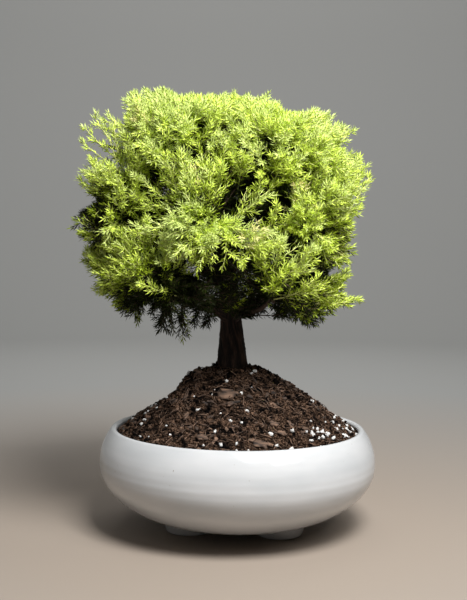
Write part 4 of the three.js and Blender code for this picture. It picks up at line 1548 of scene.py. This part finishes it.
def twig_shapes(masses, stems, crown):
    """Tubes of stems and twigs in old wood, and of plumes and sprigs: those in shade in the same dark wood
    colour as painted shade, those in the light in the pale shoot colour as painted light."""
    radii = masses.limbs[:, None] * LIMB_TAPER * np.linspace(1.0, STEM_TAPER, STEM_POINTS)
    stout = (masses.sizes[crown.twigs.mass] / masses.sizes.max())[:, None] ** 1.5
    wood = [
        tubes(stems + TRUNK_FOOT, radii[..., None], 8),
        twig_tubes(crown.twigs, TWIG_GIRTH, 6, 6, stout),
        twig_tubes(crown.inner, INNER_GIRTH, 4, 4),
    ]
    # Plumes and sprigs in light get the pale shoot colour as painted light, those in shade the dark wood
    # colour as painted shade
    in_light = crown.light > PAINTED_LIT_PLUME, crown.sprig_light > PAINTED_LIT_SPRIG
    young, dark = (
        [twig_tubes(chosen(crown.plumes, on_plume), PLUME_GIRTH, 5, 4),
         twig_tubes(chosen(crown.sprigs, on_sprig), SPRIG_GIRTH, 2, 3)]
        for on_plume, on_sprig in (in_light, [~side for side in in_light])
    )
    return joined(*wood, *dark), joined(*young)


def crown_needles(masses, boughs, crown, settings, rng):
    """Corners and tone of every needle: old ones on twigs, inner plumes and limbs, which lie deeper than the
    crown's edge and take the near-black shade tone as painted shade, then those on plumes and sprigs in
    painted light and shade by the light on them."""
    inner_twigs = chosen(crown.twigs, crown.twigs.mass != masses.names.index(LEFT_TIP.name))
    on_twigs, _ = needle_points(inner_twigs, ON_TWIGS, settings, rng)
    on_inner, _ = needle_points(crown.inner, ON_INNER, settings, rng)
    on_limbs, _ = needle_points(limb_twigs(boughs[:NEEDLED_LIMBS]), ON_LIMBS, settings, rng)
    on_plumes, plume_shares = needle_points(crown.plumes, ON_PLUMES, settings, rng)
    on_sprigs, shares = needle_points(crown.sprigs, ON_SPRIGS._replace(count=settings.needles), settings, rng)
    on_twigs, on_inner, on_limbs = (corners.reshape(-1, 4, 3) for corners in (on_twigs, on_inner, on_limbs))
    old = np.concatenate([on_twigs, on_inner])
    old = old[crown_share(old[:, 3]) < np.maximum(crown_edge(old[:, 3]) - OLD_NEEDLE_DEPTH, HEART_SHARE)]
    on_limbs = on_limbs[(crown_share(on_limbs[:, 3]) < LIMB_NEEDLE_SHARE) & ~crosses_gap(on_limbs)]
    faded = np.exp(-np.sum((twig_tips(crown.plumes) - FADED_PLACE) ** 2, axis=-1) / FADED_SPREAD**2)
    pale = rng.uniform(size=len(faded)) < FADED_ANYWHERE + FADED_SHARE * faded
    pale &= crown.light > FADED_LIGHT
    straw = pale[crown.parent][:, None] & (shares > FADED_FROM)
    sprig_tone = np.where(straw, STRAW_TONE, needle_tones(crown.sprig_light, shares, on_sprigs, rng))
    plume_tone = needle_tones(crown.light, plume_shares, on_plumes, rng)
    # Old needles and those on the limbs take tone 0, the near-black shade tone, as painted shade
    tone = np.concatenate([np.zeros(len(old) + len(on_limbs)), plume_tone.ravel(), sprig_tone.ravel()])
    return np.concatenate([old, on_limbs, on_plumes.reshape(-1, 4, 3), on_sprigs.reshape(-1, 4, 3)]), tone


# The stage

def floor_shape():
    """A round floor that curves up far behind the plant, by a quarter circle, seen from inside."""
    columns = 96
    curve = np.linspace(0.0, 0.5 * math.pi, 24)[1:]
    flat = np.linspace(0.0, FLAT_RADIUS, 12)[1:]
    edge = np.full(len(RISE_HEIGHTS), FLAT_RADIUS + RISE_RADIUS)
    radius = np.concatenate([flat, FLAT_RADIUS + RISE_RADIUS * np.sin(curve), edge])
    height = np.concatenate([np.zeros(len(flat)), RISE_RADIUS * (1.0 - np.cos(curve)), RISE_HEIGHTS])
    skin = turned(radius[:, None], height[:, None], columns)
    rows = len(height)
    points = np.append(skin.reshape(-1, 3), np.zeros((1, 3)), axis=0)
    faces = shell_faces(rows, columns)[:, ::-1]
    return points, faces[: 2 * (rows - 1) * columns + columns]


def floor_finish(settings):
    """A matt floor, warm round the bowl and grey further out."""
    material, tree, shader = new_finish("pale_floor", 0.7)
    away = tree.nodes.new("ShaderNodeVectorMath")
    away.operation = "LENGTH"
    tree.links.new(tree.nodes.new("ShaderNodeTexCoord").outputs["Object"], away.inputs[0])
    tone = stops(tree, away.outputs["Value"], (0.15, settings.floor), (0.75, settings.far_floor))
    tree.links.new(tone, shader.inputs["Base Color"])
    return material


def soft_light(colour):
    """A world of one colour that lights the plant from all round."""
    world = bpy.data.worlds.new("soft_light")
    world.use_nodes = True
    background = world.node_tree.nodes["Background"]
    background.inputs["Color"].default_value = (*colour, 1.0)
    background.inputs["Strength"].default_value = SURROUND_STRENGTH
    return world


def add_lamp(name, power, size, aim, offset):
    """A square lamp that hangs at an offset from the place that it points at."""
    light = bpy.data.lights.new(name, "AREA")
    light.energy = power
    light.size = size
    lamp = placed(name, light)
    lamp.location = Vector(POT_AXIS) + offset + aim
    lamp.rotation_euler = (-offset).to_track_quat("-Z", "Y").to_euler()


def add_camera(focal_length):
    """The camera at the photo's eye."""
    lens = bpy.data.cameras.new("camera")
    lens.sensor_width = FILM_WIDTH
    lens.lens = focal_length
    lens.clip_start = NEAREST_SEEN
    camera = placed("camera", lens)
    camera.location = POT_AXIS + EYE
    tipped = Matrix.Rotation(EYE_TIP, 3, "X") @ Matrix.Rotation(EYE_ROLL, 3, "Z")
    camera.rotation_euler = tipped.to_euler()
    return camera


# Operators

class BONSAI_OT_bowl(bpy.types.Operator):
    """Turns the white glazed bowl."""
    bl_idname = "bonsai.bowl"
    bl_label = "Bowl"

    def execute(self, context):
        settings = context.scene.bonsai_bowl
        add_piece("glazed_bowl", "glaze", ["bowl"], bowl_shape(settings), glaze_finish(settings))
        return {"FINISHED"}


class BONSAI_OT_feet(bpy.types.Operator):
    """Sets the three feet under the bowl."""
    bl_idname = "bonsai.feet"
    bl_label = "Feet"

    def execute(self, context):
        finish = bpy.data.materials["white_glaze"]
        for node, azimuth in FOOT_AZIMUTHS.items():
            add_piece(f"glazed_{node}", "glaze", [node], foot_shape(azimuth), finish)
        return {"FINISHED"}


class BONSAI_OT_soil(bpy.types.Operator):
    """Heaps the soil and strews crumbs, perlite, bark chips and fibres over it."""
    bl_idname = "bonsai.soil"
    bl_label = "Soil"

    def execute(self, context):
        settings = context.scene.bonsai_soil
        dark_chips = chip_shape(settings, 0.0, DARK_CHIPS, longest=3.2 * MM)
        tan_chips = chip_shape(settings, DARK_CHIPS, 1.0, longest=4.2 * MM)
        large_chips = large_chip_shape(settings)
        pieces = (
            ("soil_mound", soil_shape(settings), soil_finish(settings, "potting_soil")),
            ("soil_crumbs", crumb_shape(settings), soil_finish(settings, "soil_crumb", lighter=1.5)),
            ("perlite_grains", grain_shape(settings), perlite_finish(settings)),
            ("bark_chips_dark", dark_chips, chip_finish(settings, "dark_chip", lighter=0.55)),
            ("bark_chips_tan", tan_chips, chip_finish(settings, "tan_chip", lighter=1.3)),
            ("bark_chips_large", large_chips, chip_finish(settings, "pale_chip", lighter=1.15)),
            ("soil_fibres", fibre_shape(settings), chip_finish(settings, "dry_fibre", lighter=1.3)),
        )
        for name, shape, finish in pieces:
            add_piece(name, "soil", ["soil"], shape, finish)
        return {"FINISHED"}


class BONSAI_OT_trunk(bpy.types.Operator):
    """Grows the trunk and the boughs with their bark."""
    bl_idname = "bonsai.trunk"
    bl_label = "Trunk and boughs"

    def execute(self, context):
        settings = context.scene.bonsai_bark
        finish = bark_finish(settings)
        shape, ridges = trunk_shape(settings)
        add_piece("bark_trunk", "bark", ["trunk"], shape, finish, ridge=ridges)
        masses = crown_masses()
        boughs, _ = limb_paths(masses, 40)
        for name, path, limb in zip(masses.names, boughs, masses.limbs):
            shape, ridges = bough_shape(settings, path[None], limb)
            add_piece(f"bark_bough_{name}", "bark", [f"bough_{name}"], shape, finish, ridge=ridges)
        return {"FINISHED"}


class BONSAI_OT_foliage(bpy.types.Operator):
    """Grows the twigs, plumes, sprigs and needles of every mass."""
    bl_idname = "bonsai.foliage"
    bl_label = "Foliage"

    def execute(self, context):
        settings = context.scene.bonsai_foliage
        rng = np.random.default_rng(SEED)
        masses = crown_masses()
        crown = grown_crown(masses, settings, rng)
        boughs, stems = limb_paths(masses, STEM_POINTS)
        wood, young = twig_shapes(masses, stems, crown)
        # The wood piece carries painted shade on the shaded plumes and sprigs, the other piece painted light
        # on those in light
        add_piece("twigs_wood", "bark", FOLIAGE_NODES, wood, twig_finish("twig_wood", settings.wood))
        add_piece("twigs_young", "foliage", FOLIAGE_NODES, young, twig_finish("young_shoot", settings.shoot))
        corners, tone = crown_needles(masses, boughs, crown, settings, rng)
        for i, name in enumerate(NEEDLE_TONES):
            finish = needle_finish(f"needle_{name}", getattr(settings, name))
            add_needles(name, corners[tone == i], finish)
        return {"FINISHED"}


class BONSAI_OT_stage(bpy.types.Operator):
    """Lays the pale floor and sets the lights and the camera."""
    bl_idname = "bonsai.stage"
    bl_label = "Stage"

    def execute(self, context):
        scene = context.scene
        settings = scene.bonsai_stage
        placed("floor", new_mesh("floor", floor_shape(), floor_finish(settings), True))
        scene.world = soft_light(settings.backdrop)
        scene.view_settings.view_transform = "Standard"
        add_lamp("overhead", settings.overhead, 0.3, PLANT_AIM, Vector((0.18, -0.46, 0.54)))
        add_lamp("key", settings.key, 0.45, PLANT_AIM, Vector((0.62, -0.62, 0.72)))
        add_lamp("fill", settings.fill, 0.9, PLANT_AIM, Vector((-0.95, -0.7, 0.45)))
        add_lamp("backdrop", settings.far_light, 1.2, RISE_AIM, Vector((0.0, -1.5, 1.1)))
        scene.camera = add_camera(settings.lens)
        return {"FINISHED"}


class BONSAI_PT_panel(bpy.types.Panel):
    """Lists the bonsai's pieces."""
    bl_idname = "BONSAI_PT_panel"
    bl_label = "Bonsai"
    bl_space_type = "VIEW_3D"
    bl_region_type = "UI"
    bl_category = "Bonsai"

    def draw(self, context):
        for operator in OPERATORS:
            self.layout.operator(operator.bl_idname)
        for name in SETTINGS:
            group = getattr(context.scene, name)
            box = self.layout.box()
            for key in group.__annotations__:
                box.prop(group, key)


SETTINGS = {
    "bonsai_bowl": BowlSettings,
    "bonsai_soil": SoilSettings,
    "bonsai_bark": BarkSettings,
    "bonsai_foliage": FoliageSettings,
    "bonsai_stage": StageSettings,
}
OPERATORS = (
    BONSAI_OT_bowl,
    BONSAI_OT_feet,
    BONSAI_OT_soil,
    BONSAI_OT_trunk,
    BONSAI_OT_foliage,
    BONSAI_OT_stage,
)


def register():
    """Registers the settings, the operators and the panel."""
    for name, group in SETTINGS.items():
        bpy.utils.register_class(group)
        setattr(bpy.types.Scene, name, PointerProperty(type=group))
    for kind in (*OPERATORS, BONSAI_PT_panel):
        bpy.utils.register_class(kind)


def unregister():
    """Takes the panel, the operators and the settings out again."""
    for kind in (BONSAI_PT_panel, *reversed(OPERATORS)):
        bpy.utils.unregister_class(kind)
    for name, group in SETTINGS.items():
        delattr(bpy.types.Scene, name)
        bpy.utils.unregister_class(group)


def main():
    """Makes every piece and the stage."""
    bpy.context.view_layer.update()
    register()
    bpy.ops.bonsai.bowl()
    bpy.ops.bonsai.feet()
    bpy.ops.bonsai.soil()
    bpy.ops.bonsai.trunk()
    bpy.ops.bonsai.foliage()
    bpy.ops.bonsai.stage()


if __name__ == "__main__":
    main()
